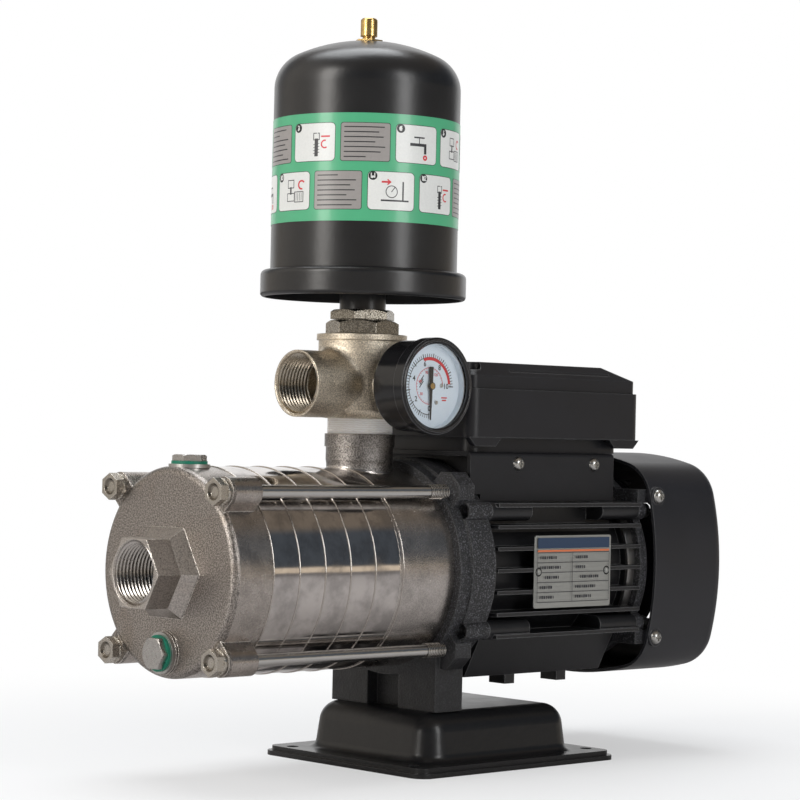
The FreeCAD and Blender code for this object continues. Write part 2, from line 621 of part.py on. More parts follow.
def ring(drawing, x, y, *radii):
    """Circles round one centre."""
    for radius in radii:
        radius = as_size(radius)
        edge = drawing.GeometryCount
        centre = FreeCAD.Vector(as_size(x).value, as_size(y).value, 0)
        drawing.addGeometry(Part.Circle(centre, FreeCAD.Vector(0, 0, 1), radius.value))
        rules = [(Sketcher.Constraint("Radius", edge, radius.value), radius)]
        pin_point(drawing, rules, edge, 3, x, y)
        apply_rules(drawing, rules)
    return drawing


def rectangle(drawing, x0, x1, y0, y1, corner=None):
    """Rectangle, with rounded corners if a radius is given."""
    if corner is None:
        return outline(drawing, [(x0, y0), (x1, y0), (x1, y1), (x0, y1)])
    return outline(drawing, [
        (x0 + corner, y0), (x1 - corner, y0, corner),
        (x1, y0 + corner), (x1, y1 - corner, corner),
        (x1 - corner, y1), (x0 + corner, y1, corner),
        (x0, y1 - corner), (x0, y0 + corner, corner)])


def hexagon(drawing, corner, first_angle=0, x=0, y=0):
    """Regular hexagon from its centre-to-corner radius."""
    corners = [aslant(corner, 0, first_angle + 60 * number) for number in range(6)]
    return outline(drawing, [(x + u, y + v) for u, v in corners])


def pad(body, drawing, length, reverse=False, both=False, draft=None):
    feature = body.newObject("PartDesign::Pad", body.Name + "_pad")
    feature.Profile = drawing
    feature.Reversed = reverse
    if both:
        feature.SideType = "Symmetric"
    bind(feature, Length=length)
    if draft is not None:
        bind(feature, TaperAngle=-draft)
    return feature


def pocket(body, drawing, length, reverse=False, both=False):
    feature = body.newObject("PartDesign::Pocket", body.Name + "_pocket")
    feature.Profile = drawing
    feature.Reversed = reverse
    if both:
        feature.SideType = "Symmetric"
    bind(feature, Length=length)
    return feature


def revolve(body, drawing, axis="H_Axis"):
    feature = body.newObject("PartDesign::Revolution", body.Name + "_revolve")
    feature.Profile = drawing
    feature.ReferenceAxis = (drawing, [axis])
    feature.Angle = 360
    return feature


def groove(body, drawing, axis="H_Axis"):
    feature = body.newObject("PartDesign::Groove", body.Name + "_groove")
    feature.Profile = drawing
    feature.ReferenceAxis = (drawing, [axis])
    feature.Angle = 360
    return feature


def turned(name, points, about="H_Axis", plane="XZ_Plane", **spot):
    """Body turned from one outline."""
    body = new_body(name, **spot)
    revolve(body, outline(sketch(body, plane), points), about)
    return body


def upright_axis(drawing, x):
    """Construction line across a sketch, to turn an outline about."""
    edge = drawing.GeometryCount
    x = as_size(x)
    line = Part.LineSegment(FreeCAD.Vector(x.value, 0, 0), FreeCAD.Vector(x.value, 10, 0))
    drawing.addGeometry(line, True)
    rules = []
    pin_point(drawing, rules, edge, 1, x, 0)
    pin_point(drawing, rules, edge, 2, x, 10)
    apply_rules(drawing, rules)
    return "Axis0"


def level_axis(drawing, y):
    """Construction line along a sketch, to turn an outline about."""
    edge = drawing.GeometryCount
    y = as_size(y)
    line = Part.LineSegment(FreeCAD.Vector(0, y.value, 0), FreeCAD.Vector(10, y.value, 0))
    drawing.addGeometry(line, True)
    rules = []
    pin_point(drawing, rules, edge, 1, 0, y)
    pin_point(drawing, rules, edge, 2, 10, y)
    apply_rules(drawing, rules)
    return "Axis0"


def copies(name, *sets):
    """One node of separate solids: links to each source piece, at each of its spots."""
    links = []
    for source, spots in sets:
        nodes.remove(source)
        for spot in spots:
            link = doc.addObject("App::Link", name + "_link")
            link.LinkedObject = source
            place(link, **spot)
            links.append(link)
    group = doc.addObject("Part::Compound", name)
    group.Links = links
    group.Label = name
    nodes.append(group)
    return group


def round_pattern(body, features, count, axis="X_Axis"):
    pattern = body.newObject("PartDesign::PolarPattern", body.Name + "_polar")
    pattern.Originals = features
    pattern.Axis = (origin_part(body, axis), [""])
    pattern.Angle = 360
    pattern.Occurrences = count
    body.Tip = pattern
    return pattern


def row_pattern(body, features, axis, spacing, count):
    pattern = body.newObject("PartDesign::LinearPattern", body.Name + "_row")
    pattern.Originals = features
    pattern.Direction = (origin_part(body, axis), [""])
    pattern.Mode = "Spacing"
    bind(pattern, Offset=spacing)
    pattern.Occurrences = count
    body.Tip = pattern
    return pattern


def mirror(body, features, plane):
    pattern = body.newObject("PartDesign::Mirrored", body.Name + "_mirror")
    pattern.Originals = features
    pattern.MirrorPlane = (origin_part(body, plane), [""])
    body.Tip = pattern
    return pattern


def both_mirrors(body, features, first="XZ_Plane", second="XY_Plane"):
    """Four copies: the features, their mirror image, and the image of both."""
    pattern = body.newObject("PartDesign::MultiTransform", body.Name + "_four")
    pattern.Originals = features
    parts = []
    for plane in (first, second):
        part = body.newObject("PartDesign::Mirrored", body.Name + "_side")
        part.MirrorPlane = (origin_part(body, plane), [""])
        parts.append(part)
    pattern.Transformations = parts
    body.Tip = pattern
    return pattern


def chosen_edges(feature, test):
    """Names of the edges that pass a test on their box."""
    doc.recompute()
    return [f"Edge{number}" for number, edge in enumerate(feature.Shape.Edges, start=1)
            if test(edge.BoundBox, edge)]


def fillet(body, feature, test, radius):
    names = chosen_edges(feature, test)
    dress = body.newObject("PartDesign::Fillet", body.Name + "_fillet")
    dress.Base = (feature, names)
    bind(dress, Radius=radius)
    body.Tip = dress
    return dress


def chamfer(body, feature, test, size):
    names = chosen_edges(feature, test)
    dress = body.newObject("PartDesign::Chamfer", body.Name + "_chamfer")
    dress.Base = (feature, names)
    bind(dress, Size=size)
    body.Tip = dress
    return dress


def near(value, size, slack=0.01):
    return abs(value - as_size(size).value) < slack


# Suction cover: cast cup with four ears, a hexagon inlet boss and two plug seats
def suction_cover():
    outer = d.casing_radius
    inner = outer - d.cover_wall
    spigot = outer - d.ring_wall - d.seat_gap
    step = spigot - d.spigot_wall
    edge = d.cover_edge
    body = new_body("suction_cover", x=d.cover_front, z=d.shaft_height)
    revolve(body, outline(sketch(body, "XZ_Plane"), [
        (0, 0), (0, outer - edge, -edge), (edge, outer), (d.cover_length, outer),
        (d.cover_length, spigot), (d.cover_length + d.spigot_length, spigot),
        (d.cover_length + d.spigot_length, step), (d.cover_wall, step), (d.cover_wall, 0)]))
    ear = sketch(body, "YZ_Plane", d.ear_setback)
    reach = d.tie_offset * math.sqrt(2)
    foot = d.casing_radius - d.cover_wall / 2
    outline(ear, [
        aslant(foot, -d.ear_radius, 45), aslant(reach, -d.ear_radius, 45, d.ear_radius),
        aslant(reach, d.ear_radius, 45), aslant(foot, d.ear_radius, 45)])
    ear_pad = pad(body, ear, d.ear_length)
    round_pattern(body, [ear_pad], 4)
    foot_hexagon = hexagon(sketch(body, "YZ_Plane"), d.inlet_skirt_corner)
    top_hexagon = hexagon(sketch(body, "YZ_Plane", -d.inlet_skirt_length), d.inlet_corner)
    skirt = body.newObject("PartDesign::AdditiveLoft", "inlet_skirt")
    skirt.Profile = foot_hexagon
    skirt.Sections = [top_hexagon]
    skirt.Ruled = True
    boss = sketch(body, "YZ_Plane", -d.inlet_length)
    pad(body, hexagon(boss, d.inlet_corner), d.inlet_length)
    drain_depth = d.drain_boss_height + d.cover_wall + d.plug_boss_depth
    drain = ring(sketch(body, "YZ_Plane", -d.drain_boss_height), 0, -d.plug_drop, d.plug_boss)
    pad(body, drain, drain_depth)
    seat = ring(sketch(body, "YZ_Plane", -d.drain_boss_height), 0, -d.plug_drop, d.plug_seat)
    pad(body, seat, d.drain_boss_height)
    filler_seat = outer - d.filler_seat_cut
    filler_depth = d.cover_wall + d.plug_boss_depth
    filler_foot = filler_seat - filler_depth
    filler = ring(sketch(body, "XY_Plane", filler_foot), d.plug_setback, 0, d.plug_boss)
    pad(body, filler, filler_depth)
    mouth = d.port_radius + d.port_chamfer
    groove(body, outline(sketch(body, "XZ_Plane"), [
        (-d.inlet_length, 0), (-d.inlet_length, mouth),
        (-d.inlet_length + d.port_chamfer, d.port_radius),
        (d.cover_wall, d.port_radius), (d.cover_wall, 0)]))
    flat = ring(sketch(body, "XY_Plane", filler_seat), d.plug_setback, 0, d.plug_seat)
    pocket(body, flat, d.cover_wall, reverse=True)
    drain_hole = ring(sketch(body, "YZ_Plane", -d.drain_boss_height), 0, -d.plug_drop,
                      d.plug_thread + d.run_gap)
    pocket(body, drain_hole, drain_depth, reverse=True)
    filler_hole = ring(sketch(body, "XY_Plane", filler_foot), d.plug_setback, 0,
                       d.plug_thread + d.run_gap)
    pocket(body, filler_hole, filler_depth, reverse=True)
    bolt_hole = ring(sketch(body, "YZ_Plane", d.ear_setback), d.tie_offset, d.tie_offset,
                     d.tie_radius + d.seat_gap)
    hole = pocket(body, bolt_hole, d.ear_length, reverse=True)
    round_pattern(body, [hole], 4)


# Stage rings: polished sleeves, each with a spigot that enters the next one
def stage_ring(number):
    inner = d.casing_radius - d.ring_wall
    spigot = inner - d.seat_gap
    step = spigot - d.spigot_wall
    turned(f"stage_ring_{number + 1}", [
        (0, inner), (0, d.casing_radius), (d.stage_pitch, d.casing_radius),
        (d.stage_pitch, spigot), (d.stage_pitch + d.spigot_length, spigot),
        (d.stage_pitch + d.spigot_length, step), (d.stage_pitch - d.ring_step, step),
        (d.stage_pitch - d.ring_step, inner)],
        x=ring_start + d.stage_pitch * number, z=d.shaft_height)


def stage_spots(count=STAGES):
    return [{"x": ring_start + d.stage_pitch * number, "z": d.shaft_height}
            for number in range(count)]


def vane(drawing, inner, outer, sweep, bow):
    """Curved blade from one radius to another, of even thickness."""
    start, end = aslant(inner, 0, 0), aslant(outer, 0, sweep)
    run, rise = end[0] - start[0], end[1] - start[1]
    share = d.vane_thick / root(run * run + rise * rise)
    if sweep < 0:
        share = -share
    side_x, side_y = -rise * share, run * share
    return outline(drawing, [
        start + (bow,), end, (end[0] + side_x, end[1] + side_y, -bow),
        (start[0] + side_x, start[1] + side_y)])


# Diffusers: a plate with return vanes ahead of it and a sleeve clamped by the ring
def diffusers():
    body = new_body("diffuser_single")
    rim = d.casing_radius - d.ring_wall - d.seat_gap
    sleeve = rim - d.diffuser_sleeve
    bore = d.eye_radius + d.eye_lip + d.run_gap
    back = joint_depth + d.diffuser_plate
    end = d.stage_pitch - d.ring_step
    revolve(body, outline(sketch(body, "XZ_Plane"), [
        (joint_depth, bore), (joint_depth, rim), (end, rim), (end, sleeve),
        (back, sleeve), (back, bore)]))
    blade = sketch(body, "YZ_Plane", joint_depth - d.return_vane_height)
    vane(blade, bore, d.return_vane_radius, 35, d.return_vane_bow)
    round_pattern(body, [pad(body, blade, d.return_vane_height)], DIFFUSER_VANES)
    copies("diffusers", (body, stage_spots()))


# Impellers: closed wheels, whose hubs meet along the shaft
def impellers():
    body = new_body("impeller_single")
    bore = d.pump_shaft_radius + d.fit_gap
    front = d.impeller_offset
    back = front + d.impeller_width
    revolve(body, outline(sketch(body, "XZ_Plane"), [
        (0, bore), (0, d.hub_radius), (back - d.shroud, d.hub_radius),
        (back - d.shroud, d.impeller_radius), (back, d.impeller_radius), (back, d.hub_radius),
        (d.stage_pitch, d.hub_radius), (d.stage_pitch, bore)]))
    eye = d.eye_radius
    revolve(body, outline(sketch(body, "XZ_Plane"), [
        (joint_depth, eye), (joint_depth, eye + d.eye_lip), (front, eye + d.eye_lip),
        (front, d.impeller_radius), (front + d.shroud, d.impeller_radius),
        (front + d.shroud, eye)]))
    blade = sketch(body, "YZ_Plane", front + d.shroud)
    vane(blade, eye + d.eye_lip, d.impeller_radius - d.vane_thick, -45, -d.impeller_bow)
    round_pattern(body, [pad(body, blade, d.impeller_width - d.shroud * 2)], IMPELLER_VANES)
    copies("impellers", (body, stage_spots()))


# O-rings in the joints between the cover, the rings and the discharge casing
def casing_seals():
    body = new_body("seal_single")
    centre = d.casing_radius - d.ring_wall - d.cord_radius - d.fit_gap
    drawing = ring(sketch(body, "XZ_Plane"), d.spigot_length + d.cord_radius, centre,
                   d.cord_radius - d.fit_gap / 2)
    revolve(body, drawing)
    copies("casing_o_rings", (body, stage_spots(STAGES + 1)))


# Discharge casing: cup that closes the stages, with the outlet stub on top
def discharge_casing():
    body = new_body("discharge_casing", x=discharge_start, z=d.shaft_height)
    length = d.discharge_length
    outer = d.casing_radius
    inner = outer - d.discharge_wall
    face = length - d.discharge_back
    pocket_end = face + d.seal_seat_length - d.seal_seat_proud
    seat = d.seal_seat_radius + d.fit_gap
    revolve(body, outline(sketch(body, "XZ_Plane"), [
        (0, 0), (0, outer), (length, outer), (length, d.shaft_bore),
        (pocket_end, d.shaft_bore), (pocket_end, seat), (face, seat), (face, 0)]))
    stub = sketch(body, "XZ_Plane")
    x, foot = d.outlet_setback, d.outlet_root_radius
    base = root(inner * inner - foot * foot)
    collar = d.outlet_top - d.outlet_collar_height
    outline(stub, [
        (x, base), (x + foot, base), (x + foot, d.outlet_root_bottom, -d.outlet_root_bow),
        (x + d.outlet_radius, d.outlet_root_top), (x + d.outlet_radius, collar),
        (x + d.outlet_collar_radius, collar), (x + d.outlet_collar_radius, d.outlet_top),
        (x, d.outlet_top)])
    revolve(body, stub, upright_axis(stub, x))
    ring_bore = outer - d.ring_wall
    groove(body, outline(sketch(body, "XZ_Plane"), [
        (0, 0), (0, ring_bore), (joint_depth, ring_bore), (joint_depth, inner),
        (face, inner), (face, 0)]))
    bore = ring(sketch(body, "XY_Plane", d.outlet_top), x, 0, d.port_radius)
    pocket(body, bore, d.outlet_top - d.outlet_bore_floor)


# Mechanical seal: a sprung ring that turns with the shaft, and its seat in the casing
def shaft_seal():
    bore = d.pump_shaft_radius + d.fit_gap
    seat_front = bracket_front - d.discharge_back - d.seal_seat_proud
    head_back = seat_front - d.run_gap - discharge_start
    head_front = head_back - d.seal_head_length
    spring = d.seal_spring_radius
    waist = spring - d.seal_fold
    fold = head_front / 6
    folds = []
    for number in range(6):
        radius = spring if number % 2 == 0 else waist
        folds += [(fold * number, radius), (fold * (number + 1), radius)]
    turned("seal_head", [(0, bore)] + folds + [
        (head_front, d.seal_head_radius), (head_back, d.seal_head_radius), (head_back, bore)],
        x=discharge_start, z=d.shaft_height)
    inner = d.pump_shaft_radius + d.seal_seat_clearance
    turned("seal_seat", [
        (0, inner), (0, d.seal_seat_radius), (d.seal_seat_length, d.seal_seat_radius),
        (d.seal_seat_length, inner)], x=seat_front, z=d.shaft_height)


# Shaft: one stepped bar through the impellers, the rotor and the fan
def shaft():
    nose = ring_start - d.nut_length - d.shaft_nose
    front_end = front_bearing - nose
    stack_front = housing_front - nose + d.shaft_shoulder
    stack_rear = rear_bearing - nose - d.shaft_shoulder
    rear_end = rear_bearing + d.bearing_width - nose
    fan_end = housing_rear + d.fan_start + d.fan_disc + d.fan_width + d.shaft_nose - nose
    step = bracket_front - nose
    pump, seat = d.pump_shaft_radius, d.bearing_bore
    turned("shaft", [
        (0, 0), (0, pump - 1), (1, pump), (step, pump), (step, seat),
        (housing_front - nose, seat), (housing_front - nose, d.motor_shaft_radius),
        (rear_bearing - nose, d.motor_shaft_radius), (rear_bearing - nose, seat),
        (rear_end, seat), (rear_end, d.fan_shaft_radius), (fan_end, d.fan_shaft_radius),
        (fan_end, 0)], x=nose, z=d.shaft_height)
    nut = new_body("impeller_nut", x=ring_start - d.nut_length, z=d.shaft_height)
    drawing = hexagon(sketch(nut, "YZ_Plane"), d.nut_flats * hex_corner / 2)
    ring(drawing, 0, 0, pump + d.fit_gap)
    pad(nut, drawing, d.nut_length)


# Filler and drain plugs, each with its sealing washer
def plug(name, **spot):
    """Plug along +X from its seal's seat: thread inward, six-sided head outward."""
    body = new_body(name, **spot)
    thread = d.plug_thread
    reach = d.plug_reach
    seal = d.seal_ring_height + d.seal_lip_height
    top = -seal - d.plug_head_height
    revolve(body, outline(sketch(body, "XZ_Plane"), [
        (reach, 0), (reach, thread - 1), (reach - 1, thread), (-seal, thread), (-seal, 0)]))
    corner = d.plug_head_flats / 2 * hex_corner
    pad(body, hexagon(sketch(body, "YZ_Plane", top), corner), d.plug_head_height)
    outside = corner + 1
    drop = (outside - d.plug_head_flats / 2) * math.tan(math.radians(d.hexagon_cut.value))
    groove(body, outline(sketch(body, "XZ_Plane"), [
        (top, d.plug_head_flats / 2), (top + drop, outside), (top, outside)]))
    bore = thread + d.run_gap
    washer = new_body(name.replace("_plug", "_seal"), **spot)
    revolve(washer, outline(sketch(washer, "XZ_Plane"), [
        (0, bore), (0, d.seal_ring_radius), (-d.seal_ring_height, d.seal_ring_radius),
        (-d.seal_ring_height, d.seal_lip_radius), (-seal, d.seal_lip_radius), (-seal, bore)]))


def plugs():
    seat = d.shaft_height + d.casing_radius - d.filler_seat_cut
    plug("filler_plug", x=d.cover_front + d.plug_setback, z=seat, axis=(0, 1, 0), angle=90)
    plug("drain_plug", x=d.cover_front - d.drain_boss_height, z=d.shaft_height - d.plug_drop)


# Tie bolts: four long bolts from the cover's ears into the bracket's ears
def tie_bolts():
    head_seat = d.cover_front + d.ear_setback - d.tie_washer_height
    ear_front = bracket_front + d.bracket_ear_setback
    length = ear_front + d.tie_engagement - head_seat
    body = new_body("tie_bolt_single")
    head = sketch(body, "YZ_Plane", -d.tie_head_height)
    corner = d.tie_head_flats / 2 * hex_corner
    head_pad = pad(body, hexagon(head, corner, 30), d.tie_head_height)
    dish = sketch(body, "XZ_Plane")
    dish_radius = d.tie_head_flats / 2 * 0.72
    depth = d.tie_head_dish
    groove(body, outline(dish, [
        (-d.tie_head_height, 0), (-d.tie_head_height, dish_radius),
        (-d.tie_head_height + depth, dish_radius - depth), (-d.tie_head_height + depth, 0)]))
    shank = ring(sketch(body, "YZ_Plane"), 0, 0, d.tie_radius)
    pad(body, shank, length)
    washer = new_body("tie_washer_single")
    disc = ring(sketch(washer, "YZ_Plane"), 0, 0, d.tie_radius + d.seat_gap,
                d.tie_washer_radius)
    pad(washer, disc, d.tie_washer_height)
    corners = [(1, 1), (-1, 1), (-1, -1), (1, -1)]
    spots = [{"x": head_seat, "y": d.tie_offset * across, "z": d.shaft_height + d.tie_offset * up}
             for across, up in corners]
    copies("tie_bolts", (body, spots), (washer, spots))


# Bracket: cast piece that joins the pump end to the motor and stands on the foot
def pump_bracket():
    body = new_body("pump_bracket", x=bracket_front, z=d.shaft_height)
    length = d.bracket_length
    flange = d.bracket_flange
    barrel = d.bracket_radius
    boss = d.bearing_radius + d.bearing_boss_wall
    bearing = length - d.bearing_width
    web = bearing - d.bracket_web
    revolve(body, outline(sketch(body, "XZ_Plane"), [
        (0, boss), (0, d.bracket_flange_radius), (flange, d.bracket_flange_radius),
        (flange, barrel), (length, barrel), (length, barrel - d.bracket_wall),
        (bearing, barrel - d.bracket_wall), (bearing, boss), (length, boss),
        (length, d.bearing_radius + d.fit_gap), (bearing, d.bearing_radius + d.fit_gap),
        (bearing, d.shaft_bore), (web, d.shaft_bore), (web, boss)]))
    ear = sketch(body, "YZ_Plane", d.bracket_ear_setback)
    reach = d.tie_offset * math.sqrt(2) + d.bracket_ear_reach
    half = d.bracket_ear_width / 2
    cut = d.bracket_ear_chamfer
    inside = d.bracket_flange_radius - d.bracket_wall
    outline(ear, [
        aslant(inside, -half, 45), aslant(reach - cut, -half, 45), aslant(reach, cut - half, 45),
        aslant(reach, half - cut, 45), aslant(reach - cut, half, 45), aslant(inside, half, 45)])
    round_pattern(body, [pad(body, ear, d.bracket_ear_length)], 4)
    lug = sketch(body, "YZ_Plane", flange)
    y, z, lug_radius = d.motor_screw_y, d.motor_screw_z, d.screw_lug_radius
    inside = y - d.screw_lug_radius * 2
    outline(lug, [(inside, z - lug_radius), (y, z - lug_radius, lug_radius),
                  (y, z + lug_radius), (inside, z + lug_radius)])
    both_mirrors(body, [pad(body, lug, length - flange)], "XZ_Plane", "XY_Plane")
    foot_top = root(barrel * barrel - d.foot_half_width * d.foot_half_width) - d.bracket_wall
    foot_bottom = d.shaft_height - d.pedestal_height
    web_drawing = sketch(body, "YZ_Plane", d.foot_recess)
    rectangle(web_drawing, -d.foot_half_width, d.foot_half_width, -foot_bottom, -foot_top)
    pad(body, web_drawing, d.foot_length - d.foot_recess)
    block = sketch(body, "YZ_Plane")
    inner_side = d.foot_half_width - d.foot_block_width
    rectangle(block, inner_side, d.foot_half_width, -foot_bottom, -foot_top)
    mirror(body, [pad(body, block, d.foot_length)], "XZ_Plane")
    gusset = sketch(body, "XZ_Plane")
    outline(gusset, [(d.foot_length, -foot_top), (d.foot_length, -foot_top - d.gusset_drop),
                     (length, -foot_top), (length, d.bracket_wall - foot_top)])
    pad(body, gusset, d.foot_half_width * 2, both=True)
    bore = sketch(body, "YZ_Plane", bearing)
    ring(bore, 0, 0, barrel - d.bracket_wall)
    ring(bore, 0, 0, boss)
    pocket(body, bore, length - bearing, reverse=True)
    hole = ring(sketch(body, "YZ_Plane"), d.tie_offset, d.tie_offset, d.tie_radius + d.fit_gap)
    ear_end = d.bracket_ear_setback + d.bracket_ear_length
    round_pattern(body, [pocket(body, hole, ear_end, reverse=True)], 4)
    screw = ring(sketch(body, "YZ_Plane", flange), y, z, d.motor_screw_radius + d.seat_gap)
    counter = ring(sketch(body, "YZ_Plane", flange), y, z,
                   d.motor_screw_head + d.seat_gap)
    screw_cut = pocket(body, screw, length - flange, reverse=True)
    counter_cut = pocket(body, counter, d.screw_recess, reverse=True)
    both_mirrors(body, [screw_cut, counter_cut])
    foot_hole = ring(sketch(body, "XY_Plane", -foot_bottom), d.foot_length / 2,
                     foot_bolt_y, d.foot_bolt_radius + d.fit_gap)
    mirror(body, [pocket(body, foot_hole, d.foot_bolt_reach + 1, reverse=True)], "XZ_Plane")


# Foot bolts: up through the stand into the bracket's foot
def foot_bolts():
    seat = d.pedestal_height - d.sheet_wall - d.foot_washer_height
    spots = [{"x": bracket_front + d.foot_length / 2, "y": foot_bolt_y * side, "z": seat}
             for side in (1, -1)]
    body = new_body("foot_bolt_single")
    corner = d.foot_bolt_flats / 2 * hex_corner
    head = hexagon(sketch(body, "XY_Plane", -d.foot_bolt_head), corner)
    pad(body, head, d.foot_bolt_head)
    shank = ring(sketch(body, "XY_Plane"), 0, 0, d.foot_bolt_radius)
    pad(body, shank, d.foot_washer_height + d.sheet_wall + d.foot_bolt_reach)
    washer = new_body("foot_washer_single")
    disc = ring(sketch(washer, "XY_Plane"), 0, 0, d.foot_bolt_radius + d.seat_gap,
                d.foot_washer_radius)
    pad(washer, disc, d.foot_washer_height)
    copies("foot_bolts", (body, spots), (washer, spots))


# Motor housing: finned shell with a flat top and smooth lower panels
def motor_housing():
    body = new_body("motor_housing", x=housing_front, z=d.shaft_height)
    shell = d.housing_bore + d.housing_wall
    pad(body, ring(sketch(body, "YZ_Plane"), 0, 0, shell), d.housing_length)
    fin_length = d.housing_length - d.fin_setback
    fin = sketch(body, "YZ_Plane", d.fin_setback)
    lowest = -d.fin_pitch * ((FIN_COUNT - 1) / 2)
    rectangle(fin, -d.fin_tip, d.fin_tip, lowest - d.fin_thick / 2, lowest + d.fin_thick / 2)
    row_pattern(body, [pad(body, fin, fin_length)], "Z_Axis", d.fin_pitch, FIN_COUNT)
    pad_start = sketch(body, "YZ_Plane", d.pad_front)
    rectangle(pad_start, -d.pad_half_width, d.pad_half_width, 0, d.pad_top)
    pad(body, pad_start, d.pad_length)
    collar = sketch(body, "YZ_Plane", d.housing_length - d.collar_length)
    pad(body, ring(collar, 0, 0, d.collar_radius), d.collar_length)
    panel = sketch(body, "YZ_Plane", d.fin_setback)
    half, low, wall = d.panel_half_width, d.panel_bottom, d.panel_wall
    top = lowest - d.fin_thick / 2
    outline(panel, [(-half, top), (-half + d.panel_slope, -low), (half - d.panel_slope, -low),
                    (half, top), (half - wall, top), (half - d.panel_slope - wall, wall - low),
                    (d.panel_slope + wall - half, wall - low), (wall - half, top)])
    pad(body, panel, d.panel_length)
    lug = sketch(body, "XZ_Plane", d.panel_half_width - d.panel_slope - d.lug_width)
    rectangle(lug, d.lug_first, d.lug_first + d.lug_length, -d.lug_bottom, wall - low)
    lug_pad = pad(body, lug, d.lug_width)
    row = row_pattern(body, [lug_pad], "X_Axis", d.lug_spacing, 2)
    rib = sketch(body, "YZ_Plane")
    y, z, radius = d.motor_screw_y, d.motor_screw_z, d.screw_lug_radius
    inside = d.housing_bore / 2
    outline(rib, [(inside, z - radius), (y, z - radius, radius), (y, z + radius),
                  (inside, z + radius)])
    front_rib = pad(body, rib, d.screw_rib_length)
    rear = sketch(body, "YZ_Plane", d.housing_length - d.screw_rib_length)
    outline(rear, [(inside, z - radius), (y, z - radius, radius), (y, z + radius),
                   (inside, z + radius)])
    rear_rib = pad(body, rear, d.screw_rib_length)
    both_mirrors(body, [front_rib, rear_rib])
    pocket(body, ring(sketch(body, "YZ_Plane"), 0, 0, d.housing_bore), d.housing_length,
           reverse=True)
    middle = d.pad_front + d.pad_length / 2
    opening = sketch(body, "XY_Plane", d.pad_top)
    rectangle(opening, middle - d.cable_way_length / 2, middle + d.cable_way_length / 2,
              -d.cable_way_width / 2, d.cable_way_width / 2)
    pocket(body, opening, d.pad_top)
    drill = sketch(body, "XZ_Plane", d.pad_half_width)
    for number in range(2):
        ring(drill, d.saddle_screw_first + d.saddle_screw_spacing * number, d.saddle_screw_z,
             d.pan_shank + d.fit_gap)
    mirror(body, [pocket(body, drill, d.pan_length)], "XZ_Plane")
    hole = ring(sketch(body, "YZ_Plane"), y, z, d.motor_screw_radius + d.fit_gap)
    front_cut = pocket(body, hole, d.screw_rib_length - d.screw_lug_radius, reverse=True)
    hole = ring(sketch(body, "YZ_Plane", d.housing_length), y, z,
                d.motor_screw_radius + d.fit_gap)
    rear_cut = pocket(body, hole, d.screw_rib_length - d.screw_lug_radius)
    both_mirrors(body, [front_cut, rear_cut])


# Motor screws: four into each end of the housing
def motor_screws():
    body = new_body("motor_screw_single")
    head = ring(sketch(body, "YZ_Plane", -d.motor_screw_head_height), 0, 0, d.motor_screw_head)
    pad(body, head, d.motor_screw_head_height)
    shank = ring(sketch(body, "YZ_Plane"), 0, 0, d.motor_screw_radius)
    pad(body, shank, d.motor_screw_length)
    key = hexagon(sketch(body, "YZ_Plane", -d.motor_screw_head_height), d.motor_screw_key)
    pocket(body, key, d.motor_screw_head_height / 2, reverse=True)
    front = bracket_front + d.bracket_flange + d.screw_recess
    rear = housing_rear + d.endshield_plate
    spots = []
    for across in (1, -1):
        for up in (1, -1):
            y = d.motor_screw_y * across
            z = d.shaft_height + d.motor_screw_z * up
            spots.append({"x": front, "y": y, "z": z})
            spots.append({"x": rear, "y": y, "z": z, "axis": (0, 0, 1), "angle": 180})
    copies("motor_screws", (body, spots))


# Stator stack with open slots, and the copper that fills them
def stator():
    body = new_body("stator_core", x=stack_front, z=d.shaft_height)
    bore = d.rotor_radius + d.air_gap
    drawing = ring(sketch(body, "YZ_Plane"), 0, 0, d.housing_bore - d.fit_gap)
    ring(drawing, 0, 0, bore)
    pad(body, drawing, d.stack_length)
    slot = rectangle(sketch(body, "YZ_Plane"), bore - d.air_gap * 2, d.slot_outer,
                     -d.slot_width / 2, d.slot_width / 2)
    round_pattern(body, [pocket(body, slot, d.stack_length, reverse=True)], STATOR_SLOTS)
    copper = new_body("stator_windings", x=stack_front - d.winding_end, z=d.shaft_height)
    outer = d.slot_outer - d.seat_gap
    whole = d.stack_length + d.winding_end * 2
    coil = ring(sketch(copper, "YZ_Plane"), 0, 0, d.slot_inner, outer)
    pad(copper, coil, d.winding_end)
    rear = ring(sketch(copper, "YZ_Plane", whole - d.winding_end), 0, 0, d.slot_inner, outer)
    pad(copper, rear, d.winding_end)
    half = d.slot_width / 2 - d.seat_gap
    bar = rectangle(sketch(copper, "YZ_Plane"), d.slot_inner + d.seat_gap,
                    d.slot_outer - d.seat_gap * 2, -half, half)
    round_pattern(copper, [pad(copper, bar, whole)], STATOR_SLOTS)


# Rotor stack with its end rings
def rotor_core():
    bore = d.motor_shaft_radius + d.fit_gap
    length = d.stack_length + d.rotor_end * 2
    turned("rotor_core", [
        (0, bore), (0, d.rotor_radius - d.rotor_end),
        (d.rotor_end, d.rotor_radius - d.rotor_end), (d.rotor_end, d.rotor_radius),
        (length - d.rotor_end, d.rotor_radius),
        (length - d.rotor_end, d.rotor_radius - d.rotor_end),
        (length, d.rotor_radius - d.rotor_end), (length, bore)],
        x=stack_front - d.rotor_end, z=d.shaft_height)


